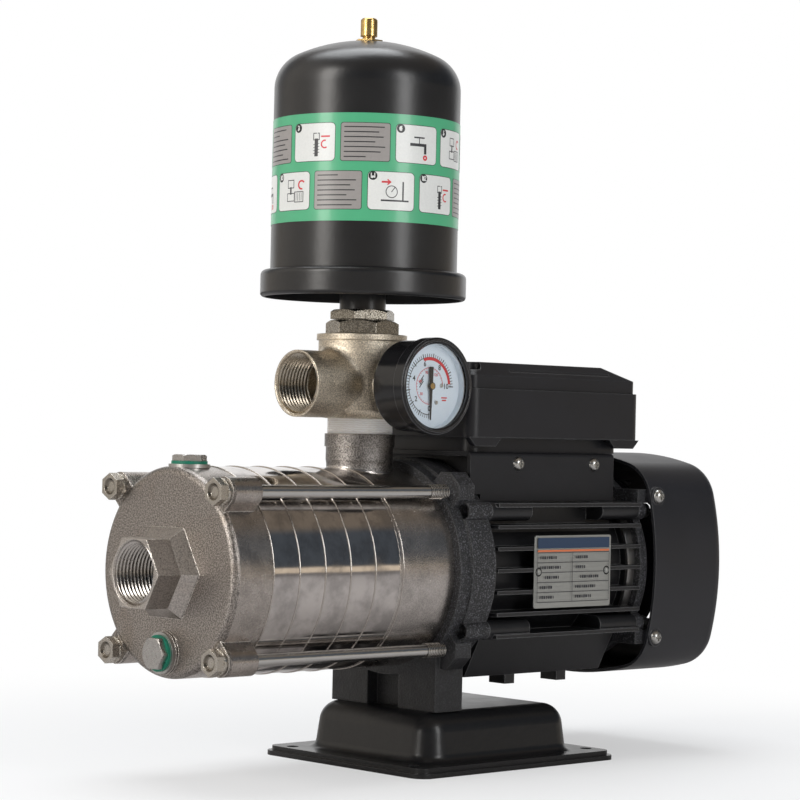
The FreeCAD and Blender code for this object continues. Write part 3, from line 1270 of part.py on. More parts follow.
# Two equal ball bearings: outer rings, inner rings, and balls in their cages
def bearings():
    spots = [{"x": front_bearing, "z": d.shaft_height}, {"x": rear_bearing, "z": d.shaft_height}]
    width = d.bearing_width
    middle = width / 2
    pitch = (d.bearing_inner + d.bearing_outer) / 2
    track = d.ball_radius + d.fit_gap
    rise = pitch - d.bearing_inner
    half = root(track * track - rise * rise)
    outer = new_body("outer_ring_single")
    revolve(outer, outline(sketch(outer, "XZ_Plane"), [
        (0, d.bearing_radius), (0, d.bearing_outer), (middle - half, d.bearing_outer, -track),
        (middle + half, d.bearing_outer), (width, d.bearing_outer), (width, d.bearing_radius)]))
    copies("bearing_outer_rings", (outer, spots))
    inner = new_body("inner_ring_single")
    bore = d.bearing_bore + d.fit_gap
    revolve(inner, outline(sketch(inner, "XZ_Plane"), [
        (0, bore), (width, bore), (width, d.bearing_inner),
        (middle + half, d.bearing_inner, -track), (middle - half, d.bearing_inner),
        (0, d.bearing_inner)]))
    copies("bearing_inner_rings", (inner, spots))
    balls = new_body("balls_single")
    cage = d.cage_width / 2
    revolve(balls, outline(sketch(balls, "XZ_Plane"), [
        (middle - cage, pitch - d.cage_wall), (middle + cage, pitch - d.cage_wall),
        (middle + cage, pitch + d.cage_wall), (middle - cage, pitch + d.cage_wall)]))
    ball = sketch(balls, "XZ_Plane")
    outline(ball, [(middle - d.ball_radius, pitch), (middle + d.ball_radius, pitch, d.ball_radius)])
    line = revolve(balls, ball, level_axis(ball, pitch))
    round_pattern(balls, [line], BALL_COUNT)
    copies("bearing_balls", (balls, spots))


# Rear end shield: carries the rear bearing and the arms of the fan cover
def rear_endshield():
    body = new_body("rear_endshield", x=housing_rear, z=d.shaft_height)
    plate = d.endshield_plate
    boss = d.bearing_radius + d.bearing_boss_wall
    seat = d.bearing_radius + d.fit_gap
    back = plate + d.bearing_width
    rim = d.housing_bore - d.seat_gap
    revolve(body, outline(sketch(body, "XZ_Plane"), [
        (0, d.endshield_radius), (plate, d.endshield_radius), (plate, boss),
        (back + d.endshield_back, boss), (back + d.endshield_back, d.shaft_bore),
        (back, d.shaft_bore), (back, seat), (plate, seat), (0, seat),
        (0, rim - d.panel_wall), (-d.endshield_lip, rim - d.panel_wall),
        (-d.endshield_lip, rim), (0, rim)]))
    lug = sketch(body, "YZ_Plane")
    y, z, radius = d.motor_screw_y, d.motor_screw_z, d.screw_lug_radius
    inside = y - radius * 2
    outline(lug, [(inside, z - radius), (y, z - radius, radius), (y, z + radius),
                  (inside, z + radius)])
    lug_pad = pad(body, lug, plate)
    arm = sketch(body, "YZ_Plane")
    tip = d.arm_tip
    half = d.arm_width / 2
    rectangle(arm, d.endshield_radius / 2, tip, d.cover_screw_z - half, d.cover_screw_z + half)
    arm_plate = pad(body, arm, plate)
    finger = sketch(body, "YZ_Plane")
    rectangle(finger, tip - d.arm_wall, tip, d.cover_screw_z - half, d.cover_screw_z + half)
    finger_pad = pad(body, finger, d.cover_rim + d.cover_screw_x + half)
    both_mirrors(body, [lug_pad, arm_plate, finger_pad])
    hole = ring(sketch(body, "YZ_Plane"), y, z, d.motor_screw_radius + d.seat_gap)
    screw_cut = pocket(body, hole, plate, reverse=True)
    side = ring(sketch(body, "XZ_Plane"), d.cover_rim + d.cover_screw_x, d.cover_screw_z,
                d.pan_shank + d.fit_gap)
    side_cut = pocket(body, side, d.fan_cover_half * 2, both=True)
    both_mirrors(body, [screw_cut, side_cut])


# Cooling fan: disc, hub and straight blades
def cooling_fan():
    body = new_body("cooling_fan", x=housing_rear + d.fan_start, z=d.shaft_height)
    hub = d.fan_hub_radius
    bore = d.fan_shaft_radius + d.fit_gap
    whole = d.fan_disc + d.fan_width
    revolve(body, outline(sketch(body, "XZ_Plane"), [
        (0, bore), (0, d.fan_radius), (d.fan_disc, d.fan_radius), (d.fan_disc, hub),
        (whole, hub), (whole, bore)]))
    blade = sketch(body, "YZ_Plane")
    rectangle(blade, hub - d.fan_disc, d.fan_radius - d.fan_disc,
              -d.fan_disc / 2, d.fan_disc / 2)
    round_pattern(body, [pad(body, blade, whole)], FAN_BLADES)


# Fan cover: pressed cap with bulged sides, rounded back and a slotted grille
def bulged_square(drawing, half, corner, side):
    """Square whose bulged sides run smoothly into its round corners."""
    lift = side - half
    reach = side - corner
    centre = (root(reach * reach * 2 - lift * lift) - lift) / 2
    share = side / reach
    near_x = centre * share
    near_y = (lift + centre) * share - lift
    outline(drawing, [
        (-near_x, -near_y, side), (near_x, -near_y, corner), (near_y, -near_x, side),
        (near_y, near_x, corner), (near_x, near_y, side), (-near_x, near_y, corner),
        (-near_y, near_x, side), (-near_y, -near_x, corner)])
    return drawing


def fan_cover():
    body = new_body("fan_cover", x=housing_rear + d.cover_rim, z=d.shaft_height)
    half, corner, side = d.fan_cover_half, d.fan_cover_corner, d.fan_cover_side
    length, wall, bend = d.fan_cover_length, d.fan_cover_wall, d.fan_cover_round
    outside = bulged_square(sketch(body, "YZ_Plane"), half, corner, side)
    pad(body, outside, length)
    inside = bulged_square(sketch(body, "YZ_Plane"), half - wall, corner - wall, side - wall)
    room = pocket(body, inside, length - wall, reverse=True)
    bowl = fillet(body, room, lambda box, edge: near(box.XMin, length - wall)
                  and near(box.XMax, length - wall), bend - wall)
    fillet(body, bowl, lambda box, edge: near(box.XMin, length) and near(box.XMax, length),
           bend)
    middle = d.grille_slot_width / 2
    rows = int(d.grille_radius.value // d.grille_pitch.value)
    for number in range(-rows, rows + 1):
        height = d.grille_pitch * number
        reach = root(d.grille_radius * d.grille_radius - height * height)
        slot = sketch(body, "YZ_Plane", length - wall)
        outline(slot, [(-reach, height - middle), (reach, height - middle, middle),
                       (reach, height + middle), (-reach, height + middle, middle)])
        pocket(body, slot, wall, reverse=True)
    boss = ring(sketch(body, "XZ_Plane", d.arm_tip + d.arm_gap), d.cover_screw_x,
                d.cover_screw_z, d.cover_boss_radius)
    both_mirrors(body, [pad(body, boss, d.cover_boss_face - d.arm_tip - d.arm_gap)])
    hole = ring(sketch(body, "XZ_Plane"), d.cover_screw_x, d.cover_screw_z,
                d.pan_shank + d.seat_gap)
    cut = pocket(body, hole, half * 2, both=True)
    mirror(body, [cut], "XY_Plane")


# Cross recess screws: into the fan cover, the saddle and the lid
def cover_screws():
    body = new_body("cover_screw_single")
    head = d.pan_height
    revolve(body, outline(sketch(body, "XZ_Plane"), [
        (-head, 0), (-head, d.pan_radius / 2, -d.pan_crown), (0, d.pan_radius),
        (0, d.pan_shank), (d.pan_length, d.pan_shank), (d.pan_length, 0)]))
    for width, height in ((d.pan_radius, d.pan_slot), (d.pan_slot, d.pan_radius)):
        slot = rectangle(sketch(body, "YZ_Plane", -head), -width / 2, width / 2,
                         -height / 2, height / 2)
        pocket(body, slot, d.pan_height / 2, reverse=True)
    spots = []
    box_x = housing_front + d.box_front
    for side, angle in ((-1, 90), (1, -90)):
        sideways = {"axis": (0, 0, 1), "angle": angle}
        for up in (1, -1):
            spots.append({"x": housing_rear + d.cover_rim + d.cover_screw_x,
                          "y": d.cover_boss_face * side,
                          "z": d.shaft_height + d.cover_screw_z * up, **sideways})
        for number in range(2):
            along = d.saddle_screw_first + d.saddle_screw_spacing * number
            spots.append({"x": housing_front + along, "y": d.saddle_half_width * side,
                          "z": d.shaft_height + d.saddle_screw_z, **sideways})
        for along in (d.lid_screw_inset, d.box_length - d.lid_screw_inset):
            spots.append({"x": box_x + along, "y": (d.box_half_width - d.lid_screw_inset) * side,
                          "z": d.shaft_height + d.box_bottom + d.box_height + d.lid_seat,
                          "axis": (0, 1, 0), "angle": 90})
    copies("cover_screws", (body, spots))


# Saddle: channel over the housing's flat top that carries the terminal box
def box_saddle():
    body = new_body("box_saddle", x=housing_front + d.saddle_front, z=d.shaft_height)
    half, wall = d.saddle_half_width, d.saddle_wall
    top = d.pad_top + wall
    low = d.saddle_bottom
    channel = sketch(body, "YZ_Plane")
    outline(channel, [(-half, low), (wall - half, low), (wall - half, d.pad_top),
                      (half - wall, d.pad_top), (half - wall, low), (half, low),
                      (half, top - wall, wall), (half - wall, top), (wall - half, top, wall),
                      (-half, top - wall)])
    pad(body, channel, d.saddle_length)
    inside = half - wall
    barrel_side = root(d.bracket_radius * d.bracket_radius - inside * inside)
    notch = rectangle(sketch(body, "XZ_Plane"), 0, d.run_gap - d.saddle_front,
                      low, barrel_side + d.run_gap)
    pocket(body, notch, half * 2, both=True)
    middle = d.pad_front + d.pad_length / 2 - d.saddle_front
    opening = sketch(body, "XY_Plane", top)
    rectangle(opening, middle - d.cable_way_length / 2, middle + d.cable_way_length / 2,
              -d.cable_way_width / 2, d.cable_way_width / 2)
    pocket(body, opening, wall)
    screws = sketch(body, "XZ_Plane")
    first = d.saddle_screw_first - d.saddle_front
    ring(screws, first, d.saddle_screw_z, d.pan_shank + d.seat_gap)
    ring(screws, first + d.saddle_screw_spacing, d.saddle_screw_z, d.pan_shank + d.seat_gap)
    pocket(body, screws, half * 2, both=True)


# Terminal box with its narrower neck, its lid, and what is inside
def terminal_box():
    x = housing_front + d.box_front
    body = new_body("terminal_box", x=x, z=d.shaft_height)
    half, wall, length = d.box_half_width, d.box_wall, d.box_length
    neck_bottom = d.pad_top + d.saddle_wall
    neck = sketch(body, "XY_Plane", neck_bottom)
    inset = d.neck_inset
    rectangle(neck, inset, length - inset, inset - half, half - inset, d.box_corner)
    pad(body, neck, d.box_bottom - neck_bottom)
    main = rectangle(sketch(body, "XY_Plane", d.box_bottom), 0, length, -half, half, d.box_corner)
    pad(body, main, d.box_height)
    tab = sketch(body, "XZ_Plane", half - d.tab_width)
    slope = d.tab_height
    low = d.box_bottom - d.tab_height
    outline(tab, [(0, d.box_bottom), (slope, low), (d.tab_length - slope, low),
                  (d.tab_length, d.box_bottom)])
    far_tab = sketch(body, "XZ_Plane", half - d.tab_width)
    outline(far_tab, [(length - d.tab_length, d.box_bottom),
                      (length - d.tab_length + slope, low), (length - slope, low),
                      (length, d.box_bottom)])
    tabs = [pad(body, tab, d.tab_width - d.box_wall / 2),
            pad(body, far_tab, d.tab_width - d.box_wall / 2)]
    mirror(body, tabs, "XZ_Plane")
    room = sketch(body, "XY_Plane", d.box_bottom + d.box_height)
    rectangle(room, wall, length - wall, wall - half, half - wall, d.box_corner - wall)
    pocket(body, room, d.box_height - wall)
    middle = d.pad_front + d.pad_length / 2 - d.box_front
    opening = sketch(body, "XY_Plane", d.box_bottom + wall)
    rectangle(opening, middle - d.cable_way_length / 2, middle + d.cable_way_length / 2,
              -d.cable_way_width / 2, d.cable_way_width / 2)
    pocket(body, opening, d.box_bottom + wall - neck_bottom)
    post = sketch(body, "XY_Plane", d.box_bottom)
    for spot_x in (d.lid_screw_inset, length - d.lid_screw_inset):
        ring(post, spot_x, half - d.lid_screw_inset, d.post_radius)
    mirror(body, [pad(body, post, d.box_height - d.lid_lip)], "XZ_Plane")
    drill = sketch(body, "XY_Plane", d.box_bottom + d.box_height)
    for spot_x in (d.lid_screw_inset, length - d.lid_screw_inset):
        ring(drill, spot_x, half - d.lid_screw_inset, d.pan_shank + d.fit_gap)
    mirror(body, [pocket(body, drill, d.box_height - wall)], "XZ_Plane")
    side = sketch(body, "XZ_Plane", -half)
    ring(side, length - d.gland_setback, d.box_bottom + d.box_height / 2,
         d.gland_thread + d.fit_gap)
    pocket(body, side, wall, reverse=True)


def terminal_box_lid():
    lid_foot = d.shaft_height + d.box_bottom + d.box_height
    body = new_body("terminal_box_lid", x=housing_front + d.box_front, z=lid_foot)
    inset, length = d.lid_inset, d.box_length
    half = d.box_half_width - inset
    corner = d.box_corner - inset
    band = sketch(body, "XY_Plane")
    rectangle(band, inset, length - inset, -half, half, corner)
    pad(body, band, d.lid_band)
    low = rectangle(sketch(body, "XY_Plane", d.lid_band), inset, length - inset, -half, half,
                    corner)
    slope = d.lid_slope
    high = rectangle(sketch(body, "XY_Plane", d.lid_height), inset + slope,
                     length - inset - d.lid_end_slope, slope - half, half - slope, corner)
    crown = body.newObject("PartDesign::AdditiveLoft", "lid_crown")
    crown.Profile = low
    crown.Sections = [high]
    crown.Ruled = True
    lip_gap = d.box_wall + d.seat_gap
    inner = d.lid_screw_inset + d.post_radius
    lip = sketch(body, "XY_Plane", -d.lid_lip)
    rectangle(lip, inner, length - inner, lip_gap - d.box_half_width,
              d.box_half_width - lip_gap)
    pad(body, lip, d.lid_lip)
    room = sketch(body, "XY_Plane", -d.lid_lip)
    wall = lip_gap + d.box_wall
    rectangle(room, inner + d.box_wall, length - inner - d.box_wall,
              wall - d.box_half_width, d.box_half_width - wall)
    pocket(body, room, d.lid_lip + d.lid_band, reverse=True)
    run = sketch(body, "XZ_Plane", half - slope / 2)
    start = length - inset - d.lid_end_slope - d.lid_groove_length
    level = (d.lid_band + d.lid_height) / 2
    rectangle(run, start, start + d.lid_groove_length, level - d.lid_groove_width / 2,
              level + d.lid_groove_width / 2)
    mirror(body, [pocket(body, run, slope, reverse=True)], "XZ_Plane")
    seats = sketch(body, "XY_Plane", d.lid_height)
    holes = sketch(body, "XY_Plane", d.lid_band)
    for spot_x in (d.lid_screw_inset, length - d.lid_screw_inset):
        spot_y = d.box_half_width - d.lid_screw_inset
        ring(seats, spot_x, spot_y, d.pan_radius + d.run_gap)
        ring(holes, spot_x, spot_y, d.pan_shank + d.seat_gap)
    seat_cut = pocket(body, seats, d.lid_height - d.lid_seat)
    hole_cut = pocket(body, holes, d.lid_height)
    mirror(body, [seat_cut, hole_cut], "XZ_Plane")


def terminal_block():
    box_floor = d.shaft_height + d.box_bottom + d.box_wall
    body = new_body("terminal_block", x=housing_front + d.box_front + d.block_setback,
                    y=-d.block_offset, z=box_floor)
    length, half, height = d.block_length, d.block_width / 2, d.block_height
    section = sketch(body, "YZ_Plane")
    outline(section, [(-half, 0), (half, 0), (half, height / 2), (half / 3, height / 2),
                      (half / 3, height), (-half / 3, height), (-half / 3, height / 2),
                      (-half, height / 2)])
    pad(body, section, length)
    ways = 4
    cell = length / ways
    well = sketch(body, "XY_Plane", height / 2)
    ring(well, cell / 2, half * 2 / 3, d.pan_shank)
    ring(well, cell / 2, -half * 2 / 3, d.pan_shank)
    row_pattern(body, [pocket(body, well, height / 4)], "X_Axis", cell, ways)
    can = new_body("run_capacitor", x=housing_front + d.box_front + d.capacitor_setback,
                   y=d.capacitor_offset, z=box_floor + d.capacitor_radius)
    long, radius = d.capacitor_length, d.capacitor_radius
    revolve(can, outline(sketch(can, "XZ_Plane"), [
        (0, 0), (0, radius - 1), (1, radius), (long - 1, radius), (long, radius - 1),
        (long, 0)]))
    prong = sketch(can, "YZ_Plane", long)
    rectangle(prong, -radius / 2, -radius / 4, -radius / 4, radius / 4)
    mirror(can, [pad(can, prong, radius / 2)], "XZ_Plane")


def cable_gland():
    body = new_body("cable_gland", x=housing_front + d.box_front + d.box_length
                    - d.gland_setback, y=d.box_half_width,
                    z=d.shaft_height + d.box_bottom + d.box_height / 2,
                    axis=(0, 0, 1), angle=90)
    bore, thread, radius = d.gland_bore, d.gland_thread, d.gland_radius
    inside = d.box_wall + d.gland_nut
    revolve(body, outline(sketch(body, "XZ_Plane"), [
        (-inside, bore), (d.gland_length, bore), (d.gland_length, radius * 0.7),
        (d.gland_length * 0.6, radius), (0, radius), (0, thread), (-d.box_wall, thread),
        (-d.box_wall, radius), (-inside, radius), (-inside, bore + 1)]))
    flats = hexagon(sketch(body, "YZ_Plane"), d.gland_flats / 2 * hex_corner)
    ring(flats, 0, 0, d.gland_bore + 1)
    pad(body, flats, d.gland_length / 3)


# Nameplate and its two rivets, on the tips of the fins
def nameplate():
    plate = new_body("nameplate_single")
    drawing = sketch(plate, "XZ_Plane")
    half = d.plate_height / 2
    rectangle(drawing, 0, d.plate_length, -half, half, d.plate_corner)
    rivets = (d.rivet_inset, d.plate_length - d.rivet_inset)
    for spot_x in rivets:
        ring(drawing, spot_x, 0, d.rivet_shank + d.fit_gap)
    pad(plate, drawing, d.plate_thick)
    rivet = new_body("rivet_single")
    radius, shank = d.rivet_radius, d.rivet_shank
    revolve(rivet, outline(sketch(rivet, "XZ_Plane"), [
        (-d.rivet_height, 0), (-d.rivet_height, radius / 2, -d.rivet_crown), (0, radius),
        (0, shank), (d.plate_thick, shank), (d.plate_thick, 0)]))
    x, z = housing_front + d.plate_start, d.shaft_height - d.plate_drop
    heads = [{"x": x + spot_x, "y": -d.fin_tip - d.plate_thick, "z": z,
              "axis": (0, 0, 1), "angle": 90} for spot_x in rivets]
    copies("nameplate", (plate, [{"x": x, "y": -d.fin_tip, "z": z}]), (rivet, heads))


# Five-way fitting: cast body with a thread below and above, and three side ports
def five_way_fitting():
    body = new_body("five_way_fitting", x=outlet_x, z=fitting_base)
    height, radius = d.fitting_height, d.fitting_radius
    rim, rim_low = d.fitting_rim_radius, height - d.fitting_rim_height
    stub_top = d.outlet_top - d.fitting_bottom
    bottom = stub_top - d.nipple_reach
    revolve(body, outline(sketch(body, "XZ_Plane"), [
        (0, bottom), (d.nipple_radius, bottom), (d.nipple_radius, 0),
        (radius - d.fitting_round, 0, d.fitting_round), (radius, d.fitting_round),
        (radius, rim_low), (rim, rim_low), (rim, height), (0, height)]), "V_Axis")
    level = d.side_port_z - d.fitting_bottom
    port = ring(sketch(body, "YZ_Plane", -d.side_port_reach), 0, level, d.side_port_radius)
    pad(body, port, d.side_port_reach)
    boss = ring(sketch(body, "XZ_Plane"), 0, level, d.gauge_boss_radius)
    bosses = pad(body, boss, d.gauge_boss_reach * 2, both=True)
    saddle = -d.fitting_radius * 0.4
    fillet(body, bosses, lambda box, edge: box.XMax < saddle.value and
           box.XMin > -d.fitting_radius.value - 1 and
           near(box.YMax, d.side_port_radius, 0.5) and
           near(box.YMin, -d.side_port_radius, 0.5), d.side_port_round)
    mouth = d.port_radius + d.port_chamfer
    top = height
    groove(body, outline(sketch(body, "XZ_Plane"), [
        (0, bottom), (d.nipple_bore, bottom), (d.nipple_bore, d.fitting_wall),
        (d.fitting_bore, d.fitting_wall), (d.fitting_bore, top - d.bushing_reach - 1),
        (d.port_radius, top - d.bushing_reach - 1), (d.port_radius, top), (0, top)]), "V_Axis")
    bore = sketch(body, "XZ_Plane")
    reach = d.side_port_reach
    inner = d.side_thread_depth - reach
    outline(bore, [(-reach, level), (-reach, level + mouth),
                   (d.port_chamfer - reach, level + d.port_radius),
                   (inner, level + d.port_radius), (inner, level + d.side_bore),
                   (0, level + d.side_bore), (0, level)])
    groove(body, bore, level_axis(bore, level))
    small = ring(sketch(body, "XZ_Plane"), 0, level, d.gauge_thread + d.seat_gap)
    pocket(body, small, d.gauge_boss_reach * 2, both=True)
    tape = new_body("thread_tape", x=outlet_x, z=d.shaft_height + d.outlet_top)
    wound = ring(sketch(tape, "XY_Plane"), 0, 0, d.nipple_radius + d.fit_gap, d.tape_radius)
    pad(tape, wound, d.fitting_bottom - d.outlet_top)


# Hexagon bushing and nut between the fitting and the tank
def cut_corners(body, flats, top):
    """Turn the corners off the upper side of an upright hexagon."""
    outside = flats / 2 * hex_corner + 1
    drop = (outside - flats / 2) * math.tan(math.radians(d.hexagon_cut.value))
    groove(body, outline(sketch(body, "XZ_Plane"), [
        (flats / 2, top), (outside, top - drop), (outside, top)]), "V_Axis")


def tank_connection():
    body = new_body("tank_bushing", x=outlet_x, z=fitting_top)
    thread = d.port_radius - d.fit_gap * 2
    bore = d.neck_radius + d.fit_gap
    shank = ring(sketch(body, "XY_Plane", -d.bushing_reach), 0, 0, thread)
    pad(body, shank, d.bushing_reach)
    corner = d.bushing_flats / 2 * hex_corner
    face = hexagon(sketch(body, "XY_Plane", d.bushing_gap), corner, d.bushing_angle.value)
    pad(body, face, d.bushing_height)
    cut_corners(body, d.bushing_flats, d.bushing_gap + d.bushing_height)
    pad(body, ring(sketch(body, "XY_Plane"), 0, 0, thread), d.bushing_gap)
    hole = ring(sketch(body, "XY_Plane", -d.bushing_reach), 0, 0, bore)
    pocket(body, hole, d.bushing_reach + d.bushing_gap + d.bushing_height, reverse=True)
    nut = new_body("tank_nut", x=outlet_x, z=fitting_top + d.bushing_gap + d.bushing_height)
    pad(nut, ring(sketch(nut, "XY_Plane"), 0, 0, bore, d.neck_radius + d.tank_nut_collar),
        d.tank_nut_gap)
    corner = d.tank_nut_flats / 2 * hex_corner
    face = hexagon(sketch(nut, "XY_Plane", d.tank_nut_gap), corner, d.tank_nut_angle.value)
    ring(face, 0, 0, bore)
    pad(nut, face, d.tank_nut_height)
    cut_corners(nut, d.tank_nut_flats, d.tank_nut_gap + d.tank_nut_height)


# Tank: skirted base with its neck, domed shell, and the rubber diaphragm inside
def tank():
    floor = d.tank_rim_height
    wall, rim = d.tank_wall, d.tank_rim_radius
    neck_foot = fitting_base + d.fitting_height - d.bushing_reach
    rim_bottom = d.shaft_height + d.tank_rim_bottom
    neck_low = neck_foot - rim_bottom
    bead = d.tank_rim_round
    skirt, edge = d.tank_rim_wall, d.tank_rim_edge
    turned("tank_base", [
        (d.neck_bore, neck_low), (d.neck_radius, neck_low), (d.neck_radius, floor - wall),
        (rim - skirt - bead, floor - wall), (rim - skirt, floor - wall - bead),
        (rim - skirt, 0), (rim - edge, 0, edge), (rim, edge), (rim, floor - bead, bead),
        (rim - bead, floor), (d.neck_bore, floor)],
        about="V_Axis", x=outlet_x, z=rim_bottom)
    turned("tank_shell", dome_outline(d.tank_radius, d.tank_shoulder, d.tank_crown,
                                      d.tank_top - d.tank_rim_bottom - floor, wall,
                                      d.stem_radius + d.seat_gap),
           about="V_Axis", x=outlet_x, z=tank_floor)
    rubber = d.diaphragm_radius
    lip, thick = d.diaphragm_lip, d.diaphragm_wall
    top = d.diaphragm_height
    round_off = d.diaphragm_round
    turned("tank_diaphragm", [
        (lip, 0), (lip, thick), (rubber, thick), (rubber, top - round_off, round_off),
        (rubber - round_off, top), (0, top), (0, top - thick),
        (rubber - round_off, top - thick, thick - round_off),
        (rubber - thick, top - round_off), (rubber - thick, 0)],
        about="V_Axis", x=outlet_x, z=tank_floor)
    band = new_body("tank_label", x=outlet_x, z=d.shaft_height + d.label_bottom)
    inside = d.tank_radius + d.label_gap
    pad(band, ring(sketch(band, "XY_Plane"), 0, 0, inside, inside + d.label_thick),
        d.label_height)


def dome_outline(radius, shoulder, crown, top, wall, hole):
    """Half section of a closed shell: upright side, round shoulder, shallow crown."""
    reach = crown - shoulder
    offset = radius - shoulder
    drop = root(reach * reach - offset * offset)
    centre = top - crown
    shoulder_centre = centre + drop
    share = crown / reach
    meet = (offset * share, centre + drop * share)
    inner = (crown - wall) / reach
    inner_meet = (offset * inner, centre + drop * inner)
    rise = root(crown * crown - hole * hole)
    low_rise = root((crown - wall) * (crown - wall) - hole * hole)
    return [
        (radius, 0), (radius, shoulder_centre, shoulder), meet + (crown,),
        (hole, centre + rise), (hole, centre + low_rise, wall - crown),
        inner_meet + (wall - shoulder,), (radius - wall, shoulder_centre), (radius - wall, 0)]


# Air valve on the tank: stem, washer, sprung pin and screwed cap
def air_valve():
    seat = d.shaft_height + d.tank_top
    inside = d.tank_wall + d.crown_drop
    stem, bore = d.stem_radius, d.stem_bore
    foot = inside + d.stem_foot_height
    turned("valve_stem", [
        (bore, -foot), (d.stem_foot_radius, -foot), (d.stem_foot_radius, -inside),
        (stem, -inside), (stem, d.stem_height), (bore, d.stem_height)],
        about="V_Axis", x=outlet_x, z=seat)
    washer = new_body("valve_washer", x=outlet_x, z=seat)
    flats = hexagon(sketch(washer, "XY_Plane"), d.stem_washer_radius)
    ring(flats, 0, 0, stem + d.seat_gap)
    pad(washer, flats, d.stem_washer_height)
    pin = d.pin_radius
    turned("valve_pin", [
        (0, -foot + d.stem_foot_height / 2), (bore - d.run_gap, d.stem_foot_height / 2 - foot),
        (bore - d.run_gap, 0), (pin, 0), (pin, d.stem_height + d.pin_travel),
        (0, d.stem_height + d.pin_travel)], about="V_Axis", x=outlet_x, z=seat)
    cap_floor = d.stem_height - d.cap_cover
    top = cap_floor + d.cap_height
    inner = stem + d.run_gap
    crown = d.cap_round
    turned("valve_cap", [
        (inner, cap_floor), (d.cap_radius, cap_floor), (d.cap_radius, top - crown, crown),
        (d.cap_radius - crown, top), (0, top), (0, top - d.cap_crown_wall),
        (inner, top - d.cap_crown_wall)], about="V_Axis", x=outlet_x, z=seat)


# Pressure gauge: case, bezel, window, dial, needle, and the bent tube that drives it
def pressure_gauge():
    z = side_port_height
    case, wall, depth = d.gauge_case_radius, d.gauge_wall, d.gauge_case_depth
    spot = {"x": outlet_x, "y": -d.gauge_back, "z": z, "axis": (0, 0, 1), "angle": -90}
    body = turned("gauge_case", [
        (0, d.spindle_radius * 2), (0, case - d.case_edge, -d.case_edge), (d.case_edge, case),
        (depth, case), (depth, case - wall), (wall, case - wall), (wall, d.spindle_radius * 2)],
        **spot)
    socket = hexagon(sketch(body, "YZ_Plane", d.gauge_boss_reach - d.gauge_back),
                     d.socket_flats / 2 * hex_corner)
    ring(socket, 0, 0, d.socket_bore)
    pad(body, socket, d.gauge_back - d.gauge_boss_reach + wall)
    thread = ring(sketch(body, "YZ_Plane", d.gauge_boss_reach - d.gauge_back
                         - d.gauge_thread_reach), 0, 0, d.socket_bore, d.gauge_thread)
    pad(body, thread, d.gauge_thread_reach)
    rim, window = d.bezel_radius, d.bezel_window
    lap = case + d.seat_gap
    face = depth + d.bezel_depth - d.bezel_overlap
    edge = d.bezel_edge
    turned("gauge_bezel", [
        (depth - d.bezel_overlap, lap), (depth - d.bezel_overlap, rim),
        (face - edge, rim, edge), (face, rim - edge), (face, window + edge),
        (face - edge, window), (depth + d.glass_thick, window), (depth + d.glass_thick, lap)],
        **spot)
    glass = new_body("gauge_window", **spot)
    pad(glass, ring(sketch(glass, "YZ_Plane", depth), 0, 0, case - d.seat_gap), d.glass_thick)
    dial_front = depth - d.dial_inset
    dial = new_body("gauge_dial", **spot)
    disc = ring(sketch(dial, "YZ_Plane", dial_front - d.dial_thick), 0, 0,
                d.spindle_radius + d.run_gap, case - wall - d.seat_gap)
    pad(dial, disc, d.dial_thick)
    rim_out = case - wall - d.seat_gap
    upright = ring(sketch(dial, "YZ_Plane", dial_front - d.dial_thick), 0, 0,
                   rim_out - d.dial_wall, rim_out)
    pad(dial, upright, d.dial_inset + d.dial_thick - d.seat_gap)
    posts = sketch(dial, "YZ_Plane", wall)
    ring(posts, 0, d.dial_post, d.dial_post_radius)
    ring(posts, 0, -d.dial_post, d.dial_post_radius)
    pad(dial, posts, dial_front - d.dial_thick - wall)
    needle = new_body("gauge_needle", **spot)
    level = dial_front + d.needle_lift
    hand = sketch(needle, "YZ_Plane", level)
    hub, tip, tail = d.needle_hub, d.needle_length, d.needle_tail
    outline(hand, [(-hub / 2, 0), (-d.needle_thick / 3, -tip), (d.needle_thick / 3, -tip),
                   (hub / 2, 0), (hub * 0.7, tail), (-hub * 0.7, tail)])
    pad(needle, hand, d.needle_thick)
    pad(needle, ring(sketch(needle, "YZ_Plane", level), 0, 0, hub), d.needle_hub_height)
    spindle = ring(sketch(needle, "YZ_Plane", d.spindle_start), 0, 0, d.spindle_radius)
    pad(needle, spindle, level - d.spindle_start)
    bourdon_tube(spot)


def bourdon_tube(spot):
    """Bent pressure tube with the block that feeds it and carries the spindle."""
    body = new_body("bourdon_tube", **spot)
    middle = d.tube_setback
    half = d.tube_section / 2
    bend = d.tube_radius
    curve = sketch(body, "YZ_Plane", middle - half)
    outer, inner = bend + half, bend - half
    outline(curve, [aslant(outer, 0, -60, outer), aslant(outer, 0, 150),
                    aslant(inner, 0, 150, -inner), aslant(inner, 0, -60)])
    pad(body, curve, d.tube_section)
    block = sketch(body, "YZ_Plane", d.gauge_wall)
    outline(block, [aslant(outer, 0, -75), aslant(outer, 0, -50), aslant(hub_keep(), 0, -30),
                    aslant(hub_keep(), 0, -95)])
    pad(body, block, middle + half - d.gauge_wall)


def hub_keep():
    return d.spindle_radius * 2 + d.run_gap * 2


